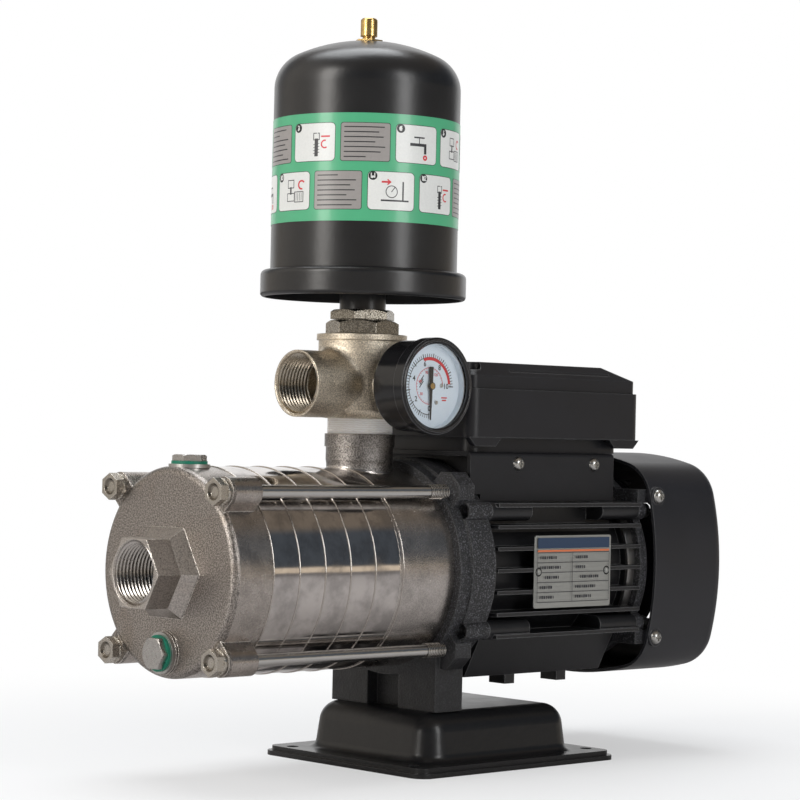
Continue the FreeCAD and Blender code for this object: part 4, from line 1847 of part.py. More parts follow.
# Pressure switch on the far port of the fitting
def pressure_switch():
    cap, neck = d.switch_cap_radius, d.socket_flats / 2
    body_end = d.switch_neck + d.switch_length
    end = body_end + d.switch_cap_length
    turned("pressure_switch", [
        (-d.gauge_thread_reach, d.socket_bore), (-d.gauge_thread_reach, d.gauge_thread),
        (0, d.gauge_thread), (0, neck), (d.switch_neck, neck),
        (d.switch_neck, d.switch_radius), (body_end, d.switch_radius), (body_end, cap),
        (end - d.switch_cap_edge, cap, d.switch_cap_edge), (end, cap - d.switch_cap_edge),
        (end, 0), (d.switch_neck, 0), (d.switch_neck, d.socket_bore)],
        x=outlet_x, y=d.gauge_boss_reach, z=side_port_height, axis=(0, 0, 1), angle=90)


# Stand: pressed sheet with a raised middle, open underneath
def raised_form(name, shrink, flange_top, length_extra):
    """Flange plate and sloped middle, made smaller all round for the inside."""
    body = doc.addObject("PartDesign::Body", name)
    step = d.stand_lip_width
    half_x, half_y = d.stand_length / 2 - shrink, d.stand_width / 2 - shrink
    plate = sketch(body, "XY_Plane", -length_extra)
    if shrink.value > 0:
        half_x, half_y = half_x - step, half_y - step
    rectangle(plate, -half_x, half_x, -half_y, half_y, d.stand_corner)
    low = d.stand_lip if shrink.value == 0 else flange_top
    pad(body, plate, low + length_extra)
    if shrink.value == 0:
        upper = sketch(body, "XY_Plane")
        rectangle(upper, step - half_x, half_x - step, step - half_y, half_y - step,
                  d.stand_corner - step)
        pad(body, upper, flange_top)
    foot = sketch(body, "XY_Plane", flange_top)
    rise_x, rise_y = d.pedestal_length / 2 - shrink, d.pedestal_width / 2 - shrink
    rectangle(foot, -rise_x, rise_x, -rise_y, rise_y, d.pedestal_corner - shrink)
    top = d.pedestal_height - shrink
    hill = pad(body, foot, top - flange_top, draft=d.pedestal_draft)
    rounded = fillet(body, hill, lambda box, edge: near(box.ZMin, top) and near(box.ZMax, top),
                     d.pedestal_round - shrink)
    fillet(body, rounded, lambda box, edge: near(box.ZMin, flange_top)
           and near(box.ZMax, flange_top) and box.XMax < rise_x.value + 0.1
           and box.XMin > -rise_x.value - 0.1, d.pedestal_flare + shrink)
    return body


def stand():
    outside = raised_form("stand_outside", as_size(0), d.stand_flange, as_size(0))
    inside = raised_form("stand_inside", d.sheet_wall, d.stand_flange - d.sheet_wall,
                         d.sheet_wall)
    shell = doc.addObject("Part::Cut", "stand_shell")
    shell.Base = outside
    shell.Tool = inside
    drills = []
    pads = []
    for side_x in (1, -1):
        for side_y in (1, -1):
            hole_x = (d.stand_length / 2 - d.stand_hole_inset) * side_x
            hole_y = d.stand_hole_spacing / 2 * side_y
            drill = doc.addObject("Part::Cylinder", "stand_hole")
            bind(drill, Radius=d.stand_hole_radius, Height=d.pedestal_height)
            place(drill, x=hole_x, y=hole_y)
            drills.append(drill)
            floor_pad = doc.addObject("Part::Cylinder", "stand_pad")
            bind(floor_pad, Radius=d.stand_pad_radius, Height=d.stand_flange - d.sheet_wall / 2)
            place(floor_pad, x=hole_x, y=hole_y)
            pads.append(floor_pad)
        drill = doc.addObject("Part::Cylinder", "foot_hole")
        bind(drill, Radius=d.foot_bolt_radius + d.seat_gap, Height=d.pedestal_height * 2)
        place(drill, x=bracket_front + d.foot_length / 2, y=foot_bolt_y * side_x)
        drills.append(drill)
    tool = doc.addObject("Part::MultiFuse", "stand_drills")
    tool.Shapes = drills
    whole = doc.addObject("Part::MultiFuse", "stand_with_pads")
    whole.Shapes = [shell] + pads
    base = doc.addObject("Part::Cut", "stand")
    base.Base = whole
    base.Tool = tool
    base.Label = "base_stand"
    nodes.append(base)


def check_and_write():
    """Stop on any failed object or bad shape, then write one file for each node."""
    doc.recompute()
    failed = [thing.Label for thing in doc.Objects
              if "Invalid" in thing.State or "Error" in thing.State]
    if failed:
        raise RuntimeError(f"failed objects: {failed}")
    for node in nodes:
        if node.Shape.isNull() or not node.Shape.isValid():
            raise RuntimeError(f"bad shape: {node.Label}")
    os.makedirs("parts", exist_ok=True)
    for node in nodes:
        node.Shape.exportStep(f"parts/{node.Label}.step")


suction_cover()
for stage in range(STAGES):
    stage_ring(stage)
diffusers()
impellers()
casing_seals()
discharge_casing()
shaft_seal()
shaft()
plugs()
tie_bolts()
pump_bracket()
foot_bolts()
motor_housing()
motor_screws()
stator()
rotor_core()
bearings()
rear_endshield()
cooling_fan()
fan_cover()
cover_screws()
box_saddle()
terminal_box()
terminal_box_lid()
terminal_block()
cable_gland()
nameplate()
five_way_fitting()
tank_connection()
tank()
air_valve()
pressure_gauge()
pressure_switch()
stand()
check_and_write()
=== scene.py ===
import math

import bmesh
import bpy
from mathutils import Matrix, Vector


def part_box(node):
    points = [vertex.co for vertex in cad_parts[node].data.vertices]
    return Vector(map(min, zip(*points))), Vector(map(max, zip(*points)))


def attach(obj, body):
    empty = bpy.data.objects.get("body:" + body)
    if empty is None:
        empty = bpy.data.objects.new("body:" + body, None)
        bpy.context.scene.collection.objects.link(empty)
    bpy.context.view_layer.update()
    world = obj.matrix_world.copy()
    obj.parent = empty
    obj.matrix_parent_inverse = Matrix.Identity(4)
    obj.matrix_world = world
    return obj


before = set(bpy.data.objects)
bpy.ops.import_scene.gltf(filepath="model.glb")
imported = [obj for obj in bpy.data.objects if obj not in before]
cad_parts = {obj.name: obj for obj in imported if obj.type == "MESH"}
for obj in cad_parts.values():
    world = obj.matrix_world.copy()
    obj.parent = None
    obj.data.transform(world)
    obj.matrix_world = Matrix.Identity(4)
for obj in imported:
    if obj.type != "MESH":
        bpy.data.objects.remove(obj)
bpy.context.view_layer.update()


# ---------------------------------------------------------------- stand
# Pressed steel stand, stoved gloss black. The sheet is drawn up in the middle
# under the pump's foot, and its rim is curled to stand on the floor.
class Wire:
    """An output of a node. Arithmetic on it adds Math nodes to the same tree."""

    def __init__(self, tree, socket):
        self.tree, self.socket = tree, socket

    def maths(self, operation, *values):
        return self.tree.node("Math", {"operation": operation}, dict(enumerate(values)))

    def __add__(self, other):
        return self.maths("ADD", self, other)

    def __sub__(self, other):
        return self.maths("SUBTRACT", self, other)

    def __rsub__(self, other):
        return self.maths("SUBTRACT", other, self)

    def __mul__(self, other):
        return self.maths("MULTIPLY", self, other)

    def __pow__(self, other):
        return self.maths("POWER", self, other)

    def __gt__(self, other):
        return self.maths("GREATER_THAN", self, other)

    def __lt__(self, other):
        return self.maths("LESS_THAN", self, other)

    def __abs__(self):
        return self.maths("ABSOLUTE", self)

    __radd__, __rmul__ = __add__, __mul__

    def step(self, low, high):
        """0 below low, 1 above high, and a smooth rise between them."""
        return self.tree.node("MapRange", {"interpolation_type": "SMOOTHSTEP"},
                              {0: self, 1: low, 2: high})


class Tree:
    """The node tree of a material or of the world."""

    def __init__(self, owner):
        owner.use_nodes = True
        self.owner = owner
        self.nodes, self.links = owner.node_tree.nodes, owner.node_tree.links

    def fill(self, socket, value):
        """Link a wire to a socket, or set the socket's own value."""
        if isinstance(value, Wire):
            self.links.new(value.socket, socket)
        elif socket.type == "RGBA" and len(value) == 3:
            socket.default_value = (*value, 1)
        else:
            socket.default_value = value

    def node(self, kind, settings=None, sockets=None, output=0):
        """Add one node: its settings first, then the values or wires of its sockets."""
        made = self.nodes.new("ShaderNode" + kind)
        for name, value in (settings or {}).items():
            setattr(made, name, value)
        for name, value in (sockets or {}).items():
            self.fill(made.inputs[name], value)
        return Wire(self, made.outputs[output])

    def where(self, centre=(0, 0, 0), stretch=(1, 1, 1)):
        """Object coordinates about a centre, stretched."""
        here = self.node("TexCoord", output="Object")
        if any(centre):
            here = self.node("VectorMath", {"operation": "SUBTRACT"}, {0: here, 1: centre})
        if stretch != (1, 1, 1):
            here = self.node("Mapping", None, {"Vector": here, "Scale": stretch})
        return here

    def parts(self, vector):
        """X, Y and Z of a vector."""
        split = self.node("SeparateXYZ", None, {0: vector})
        return [Wire(self, output) for output in split.socket.node.outputs]

    def noise(self, size, detail=2.0, rough=0.5):
        """Noise whose grains are about size metres."""
        return self.node("TexNoise", None, {"Vector": self.where(), "Scale": 1 / size,
                                            "Detail": detail, "Roughness": rough})

    def streaks(self, axis, along, across, centre=(0, 0, 0), detail=2.0):
        """Noise with one scale along an axis, 0 for X to 2 for Z, and another across it."""
        stretch = tuple(along if number == axis else across for number in range(3))
        return self.node("TexNoise", None, {"Vector": self.where(centre, stretch),
                                            "Scale": 1.0, "Detail": detail})

    def dot(self, one, other):
        """Dot product of two vectors."""
        return self.node("VectorMath", {"operation": "DOT_PRODUCT"}, {0: one, 1: other}, "Value")

    def blend(self, share, low, high):
        """Colour between low and high."""
        return self.node("Mix", {"data_type": "RGBA"}, {0: share, 6: low, 7: high}, 2)


class Finish(Tree):
    """A material with a Principled shader; constants sit on the shader's own sockets."""

    def __init__(self, name, **sockets):
        super().__init__(bpy.data.materials.new(name))
        self.shader = self.nodes["Principled BSDF"]
        self.set(**sockets)

    def set(self, **sockets):
        """Fill the shader's sockets; an underscore stands for the space in a name."""
        for name, value in sockets.items():
            self.fill(self.shader.inputs[name.replace("_", " ")], value)
        return self

    def wear(self, rounded, colour):
        """Paint a highlight colour, a little smoother, along edges where the rounded normal
        leaves the true one.
        """
        true_normal = self.node("NewGeometry", output="Normal")
        edge_highlight = (1 - self.dot(true_normal, rounded)).step(0.02, 0.16)
        below, rough = (Wire(self, self.shader.inputs[name].links[0].from_socket)
                        for name in ("Base Color", "Roughness"))
        self.set(Base_Color=self.blend(edge_highlight, below, colour), Roughness=rough - edge_highlight * 0.1)

    def relief(self, *layers, edge=0.0, glint=None):
        """Height layers (wire, depth in metres), over edges softened by edge metres.

        Glint is the colour of the painted highlight along the edges.
        """
        normal = self.node("Bevel", {"samples": 4}, {"Radius": edge}) if edge else None
        if glint:
            self.wear(normal, glint)
        for height, depth in layers:
            sockets = {"Height": height, "Distance": depth, "Strength": 1.0}
            if normal is not None:
                sockets["Normal"] = normal
            normal = self.node("Bump", None, sockets)
        return self.set(Normal=normal)


def dress(finish, *names):
    """Give CAD nodes a finish."""
    for name in names:
        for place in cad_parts[name].material_slots:
            place.material = finish.owner


def grey(shade, blue=None):
    """A grey, or one whose blue differs."""
    return shade, shade, shade if blue is None else blue


enamel = Finish("gloss_black_enamel", Coat_Weight=0.12, Coat_Roughness=0.12,
                Specular_IOR_Level=0.42)
dust = enamel.noise(0.0011, 2, 0.7).step(0.66, 0.78) * enamel.noise(0.03, 2).step(0.4, 0.7)
enamel.set(Base_Color=enamel.blend(dust, (0.009, 0.009, 0.010), (0.035, 0.034, 0.033)),
           Roughness=0.27 + enamel.noise(0.012, 4) * 0.14 + dust * 0.3)
enamel.relief((enamel.noise(0.0045, 1), 0.00012), edge=0.0006, glint=grey(0.03))
dress(enamel, "base_stand")


# ---------------------------------------------------------------- bracket and its bolts
# Bracket between pump and motor: sand-cast aluminium, painted black over its
# coarse skin. Two bolts with washers hold its foot down on the stand.
rough_cast = Finish("rough_cast_black")
sand = rough_cast.noise(0.0013, 2, 0.7)
above_foot = rough_cast.parts(rough_cast.where())[2].step(0.055, 0.075)
# Lighter grains are painted sparkle highlights on the cast skin, fainter on the foot.
grain_sparkle = rough_cast.noise(0.00078, 1, 0.7).step(0.54, 0.66) * (0.15 + above_foot * 0.85)
rough_cast.set(Base_Color=rough_cast.blend(grain_sparkle, grey(0.014, 0.01512),
                                           grey(0.126, 0.1372)),
               Roughness=0.34 + rough_cast.noise(0.006, 3) * 0.24)
rough_cast.relief((rough_cast.noise(0.009, 2), 0.00054), (sand, 0.00045), edge=0.0012,
                  glint=grey(0.07))
dress(rough_cast, "pump_bracket")


def shaded(colour, share):
    """A colour times a share."""
    return tuple(part * share for part in colour)


def steel(name, colour, rough, edge=0.0003, lathe=None):
    """Bright steel; lathe is the centre of the X axis it was turned about, if it was."""
    bright = Finish(name, Metallic=1.0)
    bright.set(Base_Color=bright.blend(bright.noise(0.004, 4, 0.6), shaded(colour, 0.72), colour),
               Roughness=rough - 0.05 + bright.noise(0.0025, 3) * 0.14)
    layers = [(bright.noise(0.0009, 3), 0.00002)]
    if lathe:
        layers.append((bright.streaks(0, 5200, 60, lathe), 0.000012))
    return bright.relief(*layers, edge=edge)


zinc = steel("bright_zinc", (0.66, 0.66, 0.64), 0.27)
dress(zinc, "foot_bolts", "motor_screws")


# ---------------------------------------------------------------- suction cover
# Front cover, investment-cast stainless steel, blasted. The one inch pipe thread
# is tapped in its hexagon boss, and four ears take the tie bolts.
AXIS_Z = 0.1103
AXIS = (0, 0, AXIS_Z)
BOSS_REACH = 0.0219
BOSS_RADIUS = 0.029
COVER_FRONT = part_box("suction_cover")[0].x + BOSS_REACH


def off_shaft(finish):
    """Place along the shaft, and distance from its axis."""
    along, across, up = finish.parts(finish.where(AXIS))
    return along, (across ** 2 + up ** 2) ** 0.5


def blasted(name, colour, shade, rough, depth, radii, ends):
    """Blasted steel, brushed finer between two radii and two ends along the shaft."""
    cast = Finish(name, Metallic=1.0)
    along, radius = off_shaft(cast)
    smooth = (radius > radii[0]) * (radius < radii[1]) * (along > ends[0]) * (along < ends[1])
    boss = (radius < BOSS_RADIUS) * (along < COVER_FRONT - 0.0005)
    pits = cast.noise(0.00078, 2, 0.7)
    clouds = cast.noise(0.011, 3, 0.6)
    brush = cast.streaks(0, 90, 900, AXIS, 3.0)

    raised = (pits.step(0.41, 0.60) * (1 - smooth * 0.5 - boss * 0.6) + boss * 0.45
              + clouds.step(0.3, 0.7) * 0.45 * smooth)
    stain = cast.noise(0.022, 2, 0.6).step(0.52, 0.78) * (1 - smooth) * 0.5
    raw = shaded(colour, shade * 1.08)
    brown = tuple(part * share for part, share in zip(raw, (0.72, 0.62, 0.52)))
    face = cast.blend(boss * 0.5, cast.blend(stain, raw, brown), (0.90, 0.845, 0.80))
    hollows = cast.blend(smooth, shaded(colour, shade * 0.4), shaded(colour, 0.58))
    cast.set(Base_Color=cast.blend(raised, hollows, cast.blend(smooth, face, colour)),
             Roughness=rough + (pits - 0.5) * 0.3 * (1 - smooth) + clouds * 0.10 - smooth * 0.06)
    return cast.relief((pits * (1 - smooth * 0.75 - boss * 0.5), depth),
                       (brush * smooth, 0.00002), edge=0.0007, glint=(0.98, 0.94, 0.88))


cover_steel = blasted("blasted_stainless", (0.60, 0.55, 0.51), 0.72, 0.28, 0.00026,
                      (0.0548, 1), (COVER_FRONT + 0.0035, 0))
dress(cover_steel, "suction_cover")


def thread(bm, root, crest, pitch, length, around):
    """Screw thread on the X axis from the origin: a V rib wound round it."""
    turns = math.ceil(length / pitch) + 2
    corners = [bm.verts.new((pitch * share, 0, radius))
               for share, radius in ((-1.0, root), (-0.56, crest), (-0.44, crest), (0.0, root))]
    edges = [bm.edges.new(pair) for pair in zip(corners, corners[1:])]
    bmesh.ops.spin(bm, geom=corners + edges, cent=(0, 0, 0), axis=(1, 0, 0),
                   dvec=(pitch / around, 0, 0), angle=math.tau * turns, steps=around * turns)
    bmesh.ops.remove_doubles(bm, verts=bm.verts, dist=0.00001)
    for place, side in ((0, -1), (length, 1)):
        bmesh.ops.bisect_plane(bm, geom=bm.verts[:] + bm.edges[:] + bm.faces[:],
                               plane_co=(place, 0, 0), plane_no=(side, 0, 0), clear_outer=True)


def linked(name, data):
    """A new object in the scene."""
    made = bpy.data.objects.new(name, data)
    bpy.context.scene.collection.objects.link(made)
    return made


def meshed(name, bm, finish):
    """Turn a bmesh into an object with a finish."""
    mesh = bpy.data.meshes.new(name)
    bm.to_mesh(mesh)
    bm.free()
    mesh.materials.append(finish.owner)
    return linked(name, mesh)


def finished(name, bm, finish):
    """Turn a bmesh into a smooth piece that rides on the pump."""
    piece = meshed(name, bm, finish)
    piece.data.shade_smooth()
    piece.data.set_sharp_from_angle(angle=math.radians(35))
    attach(piece, "pump_set")


PIPE_ROOT, PIPE_CREST, PIPE_PITCH = 0.01660, 0.01522, 0.002309
MOUTH_CHAMFER = 0.0008


def tapped(name, node, height, length, finish):
    """Inside pipe thread along +X, from the mouth of a port that is at a height."""
    bm = bmesh.new()
    thread(bm, PIPE_ROOT, PIPE_CREST, PIPE_PITCH, length, 72)
    bmesh.ops.reverse_faces(bm, faces=bm.faces)
    mouth = (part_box(node)[0].x + MOUTH_CHAMFER, 0, height)
    bmesh.ops.translate(bm, verts=bm.verts, vec=mouth)
    finished(name, bm, finish)


tapped("inlet_thread", "suction_cover", AXIS_Z, 0.0245,
       steel("cut_thread", (0.62, 0.59, 0.56), 0.24))


# ---------------------------------------------------------------- stages
# Five pressed sleeves of stainless sheet, mirror-polished outside, with moulded
# wheels and diffusers inside and rubber cords in their joints.
sleeves = [f"stage_ring_{number}" for number in range(1, 6)]
mirror = Finish("mirror_stainless", Metallic=1.0)
rub = mirror.streaks(0, 2600, 40, AXIS)
smear = mirror.noise(0.018, 4, 0.6)
mirror.set(Base_Color=mirror.blend(smear.step(0.38, 0.66), (0.70, 0.66, 0.635),
                                   (0.45, 0.425, 0.41)),
           Roughness=0.05 + smear.step(0.45, 0.8) * 0.16 + rub * 0.07)
mirror.relief((rub, 0.000008), (mirror.noise(0.02, 1), 0.00008), edge=0.0007)
dress(mirror, *sleeves)

LIP_RADIUS, LIP_PROUD = 0.00042, 0.00006
boxes = [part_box(sleeve) for sleeve in sleeves]
joints = [low.x for low, high in boxes] + [boxes[-1][1].x]
lip_height = AXIS_Z + boxes[0][1].y + LIP_PROUD
bm = bmesh.new()
for joint in joints:
    section = bmesh.ops.create_circle(bm, radius=LIP_RADIUS, segments=10)["verts"]
    edges = list(dict.fromkeys(edge for vert in section for edge in vert.link_edges))
    bmesh.ops.rotate(bm, verts=section, matrix=Matrix.Rotation(math.pi / 2, 3, "X"))
    bmesh.ops.translate(bm, verts=section, vec=(joint, 0, lip_height))
    bmesh.ops.spin(bm, geom=section + edges, cent=(joint, 0, AXIS_Z), axis=(1, 0, 0),
                   dvec=(0, 0, 0), angle=math.tau, steps=160, use_merge=True)
bmesh.ops.recalc_face_normals(bm, faces=bm.faces)
finished("stage_joint_lips", bm, steel("rolled_lip", (0.66, 0.62, 0.58), 0.22))


def clouded(name, low, high, size, rough):
    """Plain finish whose colour drifts between two, in clouds of a size in metres."""
    plain = Finish(name, Roughness=rough)
    return plain.set(Base_Color=plain.blend(plain.noise(size, 3), low, high))


noryl = clouded("moulded_grey", grey(0.07, 0.075), grey(0.11, 0.115), 0.003, 0.45)
noryl.relief((noryl.noise(0.0006, 2), 0.00002), edge=0.0003)
dress(noryl, "impellers", "diffusers", "terminal_block")

rubber = Finish("black_rubber")
bloom = rubber.noise(0.0008, 2).step(0.5, 0.8)
rubber.set(Base_Color=rubber.blend(bloom, grey(0.014), grey(0.05, 0.048)),
           Roughness=0.5 + rubber.noise(0.002, 3) * 0.25)
rubber.relief((rubber.noise(0.0005, 3), 0.00003))
dress(rubber, "casing_o_rings", "seal_head", "tank_diaphragm")


# ---------------------------------------------------------------- shaft
# Ground stainless shaft right through pump and motor, with the nut that holds
# the wheels, and the carbon and ceramic faces of the shaft seal.
dress(steel("ground_shaft", (0.68, 0.68, 0.69), 0.16, lathe=AXIS), "shaft", "impeller_nut",
      "bearing_balls", "bearing_inner_rings", "bearing_outer_rings")
dress(clouded("lapped_ceramic", (0.70, 0.69, 0.64), (0.82, 0.81, 0.77), 0.0015, 0.18),
      "seal_seat")


# ---------------------------------------------------------------- discharge casing
# Rear casing of the pump end, drawn stainless, brushed round, with a turned
# stub welded in at its top for the fitting.
casing_steel = blasted("brushed_stainless", (0.70, 0.655, 0.62), 0.52, 0.27, 0.00028,
                       (0.0200, 0.0568), (-1, 1))
dress(casing_steel, "discharge_casing")


# ---------------------------------------------------------------- tie bolts
# Four M8 bolts clamp the stages between cover and bracket. The shanks are
# rolled bright, the heads pale yellow zinc; the thread shows near the bracket.
BOLT_OFFSET = 0.0436
BOLT_ROOT, BOLT_CREST, BOLT_PITCH = 0.00345, 0.00400, 0.00125
BOLT_THREAD_X, BOLT_THREAD_LENGTH = -0.0574, 0.0136
HEAD_END = COVER_FRONT + 0.0008


def off_bolts(finish):
    """Distance from the nearest tie bolt's axis."""
    across, up = finish.parts(finish.where(AXIS))[1:]
    return ((abs(across) - BOLT_OFFSET) ** 2 + (abs(up) - BOLT_OFFSET) ** 2) ** 0.5


rod = Finish("zinc_rod", Metallic=1.0)
off_axis = off_bolts(rod)
head = rod.parts(rod.where())[0] < HEAD_END
# The darker ring in each bolt head is painted shade in its dish.
dish_shade = off_axis.step(0.0022, 0.0030) * (1 - off_axis.step(0.0042, 0.0050)) * head
haze = rod.noise(0.0025, 4, 0.65)
plating = rod.blend(head * (0.35 + haze * 0.6), (0.66, 0.655, 0.64), (0.46, 0.41, 0.335))
rod.set(Base_Color=rod.blend(dish_shade * 0.8, plating, (0.13, 0.11, 0.085)),
        Roughness=0.13 + haze * 0.16 + head * 0.06)
rod.relief((rod.noise(0.0008, 3), 0.00003), edge=0.0005, glint=(0.85, 0.82, 0.76))
dress(rod, "tie_bolts")

cut = Finish("rolled_thread", Metallic=1.0)
# The thread roots are painted dark as painted shade, and the crests light.
lit_crests = off_bolts(cut).step(0.00362, 0.00392)
cut.set(Base_Color=cut.blend(lit_crests, (0.10, 0.09, 0.08), (0.72, 0.70, 0.66)),
        Roughness=0.2 + cut.noise(0.001, 2) * 0.15)

for number, (side, up) in enumerate(((1, 1), (-1, 1), (-1, -1), (1, -1)), 1):
    bm = bmesh.new()
    thread(bm, BOLT_ROOT, BOLT_CREST, BOLT_PITCH, BOLT_THREAD_LENGTH, 24)
    bmesh.ops.translate(bm, verts=bm.verts, vec=(BOLT_THREAD_X, side * BOLT_OFFSET,
                                                 AXIS_Z + up * BOLT_OFFSET))
    finished(f"tie_bolt_thread_{number}", bm, cut)


# ---------------------------------------------------------------- filler and drain plugs
# Two 13 mm plugs with chamfered hexagon heads. Each sits on a steel ring with a
# green rubber face bonded to it.
SEAL_FACE = 0.002
dress(steel("turned_plug", (0.60, 0.585, 0.565), 0.26, edge=0.0005), "filler_plug", "drain_plug")


def bonded_seal(name, node, axis, outward):
    """Steel ring with green rubber on the side that lies outward along an axis."""
    seal = Finish(name)
    level = seal.parts(seal.where())[axis]
    low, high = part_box(node)
    green = level > low[axis] + SEAL_FACE if outward > 0 else level < high[axis] - SEAL_FACE
    cloud = seal.noise(0.002, 3)
    ring = seal.blend(cloud, (0.45, 0.44, 0.43), (0.62, 0.61, 0.59))
    face = seal.blend(cloud, (0.0, 0.13, 0.075), (0.005, 0.23, 0.14))
    seal.set(Base_Color=seal.blend(green, ring, face), Metallic=1 - green,
             Roughness=0.28 + cloud * 0.1 + green * 0.12)
    seal.relief((seal.noise(0.0006, 2), 0.00002), edge=0.0003)
    dress(seal, node)


bonded_seal("filler_bonded_seal", "filler_seal", 2, 1)
bonded_seal("drain_bonded_seal", "drain_seal", 0, -1)


# ---------------------------------------------------------------- motor
# Die-cast aluminium housing with cooling fins, painted satin black. Its rear
# end is machined bright, and a rough cast end shield closes it.
COLLAR_LENGTH, COLLAR_RADIUS, BORE_RADIUS = 0.0061, 0.0561, 0.0535
housing = Finish("satin_black_housing")
along, radius = off_shaft(housing)
bare = ((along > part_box("motor_housing")[1].x - COLLAR_LENGTH) * (radius < COLLAR_RADIUS)
        * (radius > BORE_RADIUS))
skin = housing.noise(0.0012, 3, 0.6)
patches = housing.noise(0.014, 3)
paint = housing.blend(patches, (0.008, 0.008, 0.009), (0.015, 0.015, 0.0165))
housing.set(Base_Color=housing.blend(bare, paint, (0.50, 0.49, 0.48)), Metallic=bare,
            Roughness=0.27 + patches * 0.14 + skin * 0.08 - bare * 0.05)
housing.relief((skin * (1 - bare), 0.00011),
               (housing.streaks(0, 3000, 50, AXIS) * bare, 0.00002), edge=0.0008,
               glint=grey(0.20))
dress(housing, "motor_housing")
dress(rough_cast, "rear_endshield")

lamination = Finish("stacked_sheet", Roughness=0.4, Metallic=0.8)
sheets = lamination.node("TexWave", {"bands_direction": "X"}, {
    "Vector": lamination.where(), "Scale": 320.0, "Distortion": 0.0})
lamination.set(Base_Color=lamination.blend(sheets, grey(0.16, 0.17), grey(0.34, 0.36)))
lamination.relief((sheets, 0.00003))
dress(lamination, "stator_core", "rotor_core")

copper = Finish("enamelled_copper", Roughness=0.3, Metallic=0.9)
strands = copper.node("TexWave", {"bands_direction": "DIAGONAL"}, {
    "Vector": copper.where(AXIS), "Scale": 260.0, "Distortion": 1.5, "Detail": 1.0})
copper.set(Base_Color=copper.blend(strands, (0.30, 0.09, 0.03), (0.60, 0.25, 0.09)))
copper.relief((strands, 0.0002))
dress(copper, "stator_windings", "bourdon_tube")


# ---------------------------------------------------------------- fan and its cover
# Moulded fan behind the end shield, under a pressed cap in fine satin black
# powder coat. Four cross recess screws hold the cap on the end shield's arms.
def powder(name, shade, rough, grain, depth, edge):
    """Powder coat or moulded black: a fine even grain, slightly uneven sheen."""
    coat = Finish(name, Specular_IOR_Level=0.42)
    cloud = coat.noise(0.03, 3)
    fine = coat.noise(grain, 2, 0.6)
    coat.set(Base_Color=coat.blend(cloud, grey(shade * 0.8, shade * 0.92),
                                   grey(shade * 1.2, shade * 1.45)),
             Roughness=rough - 0.08 + cloud * 0.12 + fine * 0.04)
    return coat.relief((fine, depth), edge=edge, glint=grey(shade * 7))


dress(powder("powder_black", 0.017, 0.42, 0.0007, 0.00003, 0.0008), "fan_cover", "cooling_fan")
dress(zinc, "cover_screws")


# ---------------------------------------------------------------- terminal box
# Pressed saddle over the housing's flat top, with a moulded box and lid on it
# for the terminals and the run capacitor, and a gland for the supply.
dress(powder("moulded_black", 0.014, 0.36, 0.0009, 0.00004, 0.0009), "terminal_box",
      "terminal_box_lid", "cable_gland")
dress(powder("painted_saddle", 0.012, 0.46, 0.0016, 0.00008, 0.0006), "box_saddle")
can = clouded("capacitor_case", (0.62, 0.61, 0.58), (0.74, 0.73, 0.70), 0.006, 0.4)
can.relief((can.noise(0.001, 2), 0.00003), edge=0.0005)
dress(can, "run_capacitor")


# ---------------------------------------------------------------- nameplate
# Printed aluminium plate, riveted to the fins. The print is a plain form: a
# blue band, an orange line, a ruled table and dashes in its fields.
plate_low, plate_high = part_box("nameplate")
PLATE_MIDDLE = ((plate_low.x + plate_high.x) / 2, 0, (plate_low.z + plate_high.z) / 2)
PLATE_FRONT = -0.0612
RIVET_OFFSET, SHADOW_INNER, SHADOW_OUTER = 0.0284, 0.00185, 0.00255
plate = Finish("printed_aluminium", Metallic=0.85)
grind = plate.streaks(2, 3500, 60)
across, _, up = plate.parts(plate.where(PLATE_MIDDLE))
off_rivet = ((abs(across) - RIVET_OFFSET) ** 2 + up ** 2) ** 0.5
shadow = (off_rivet > SHADOW_INNER) * (off_rivet < SHADOW_OUTER)
sheet = plate.blend(grind, (0.38, 0.39, 0.37), (0.52, 0.53, 0.51))
plate.set(Base_Color=plate.blend(shadow, sheet, grey(0.03)),
          Roughness=0.36 + plate.noise(0.003, 3) * 0.14)
plate.relief((grind, 0.000015), edge=0.0003)
dress(plate, "nameplate")


def ink(name, colour, rough=0.45):
    """Printed ink, a little uneven."""
    pale = tuple(min(1, part * 1.15 + 0.004) for part in colour)
    return clouded(name, colour, pale, 0.0012, rough)


def patch(bm, width, height, spot, cuts=1, turn=0.0):
    """Flat rectangle of print in the XY plane, cut across into strips so that it can bend."""
    made = bmesh.ops.create_grid(bm, x_segments=cuts, y_segments=1, size=0.5)["verts"]
    bmesh.ops.scale(bm, verts=made, vec=(width, height, 1))
    bmesh.ops.rotate(bm, verts=made, matrix=Matrix.Rotation(turn, 3, "Z"))
    bmesh.ops.translate(bm, verts=made, vec=(spot[0], spot[1], 0))
    return made


def stood_up(name, bm, finish, spot):
    """Stand a print made in the XY plane up at a spot of a node, facing -Y."""
    bmesh.ops.rotate(bm, verts=bm.verts, matrix=Matrix.Rotation(math.pi / 2, 3, "X"))
    bmesh.ops.translate(bm, verts=bm.verts, vec=spot)
    finished(name, bm, finish)


def on_plate(name, bm, finish, lift):
    """Lay a print on the nameplate, lift metres in front of it."""
    x, _, z = PLATE_MIDDLE
    stood_up(name, bm, finish, (x, PLATE_FRONT - lift, z))


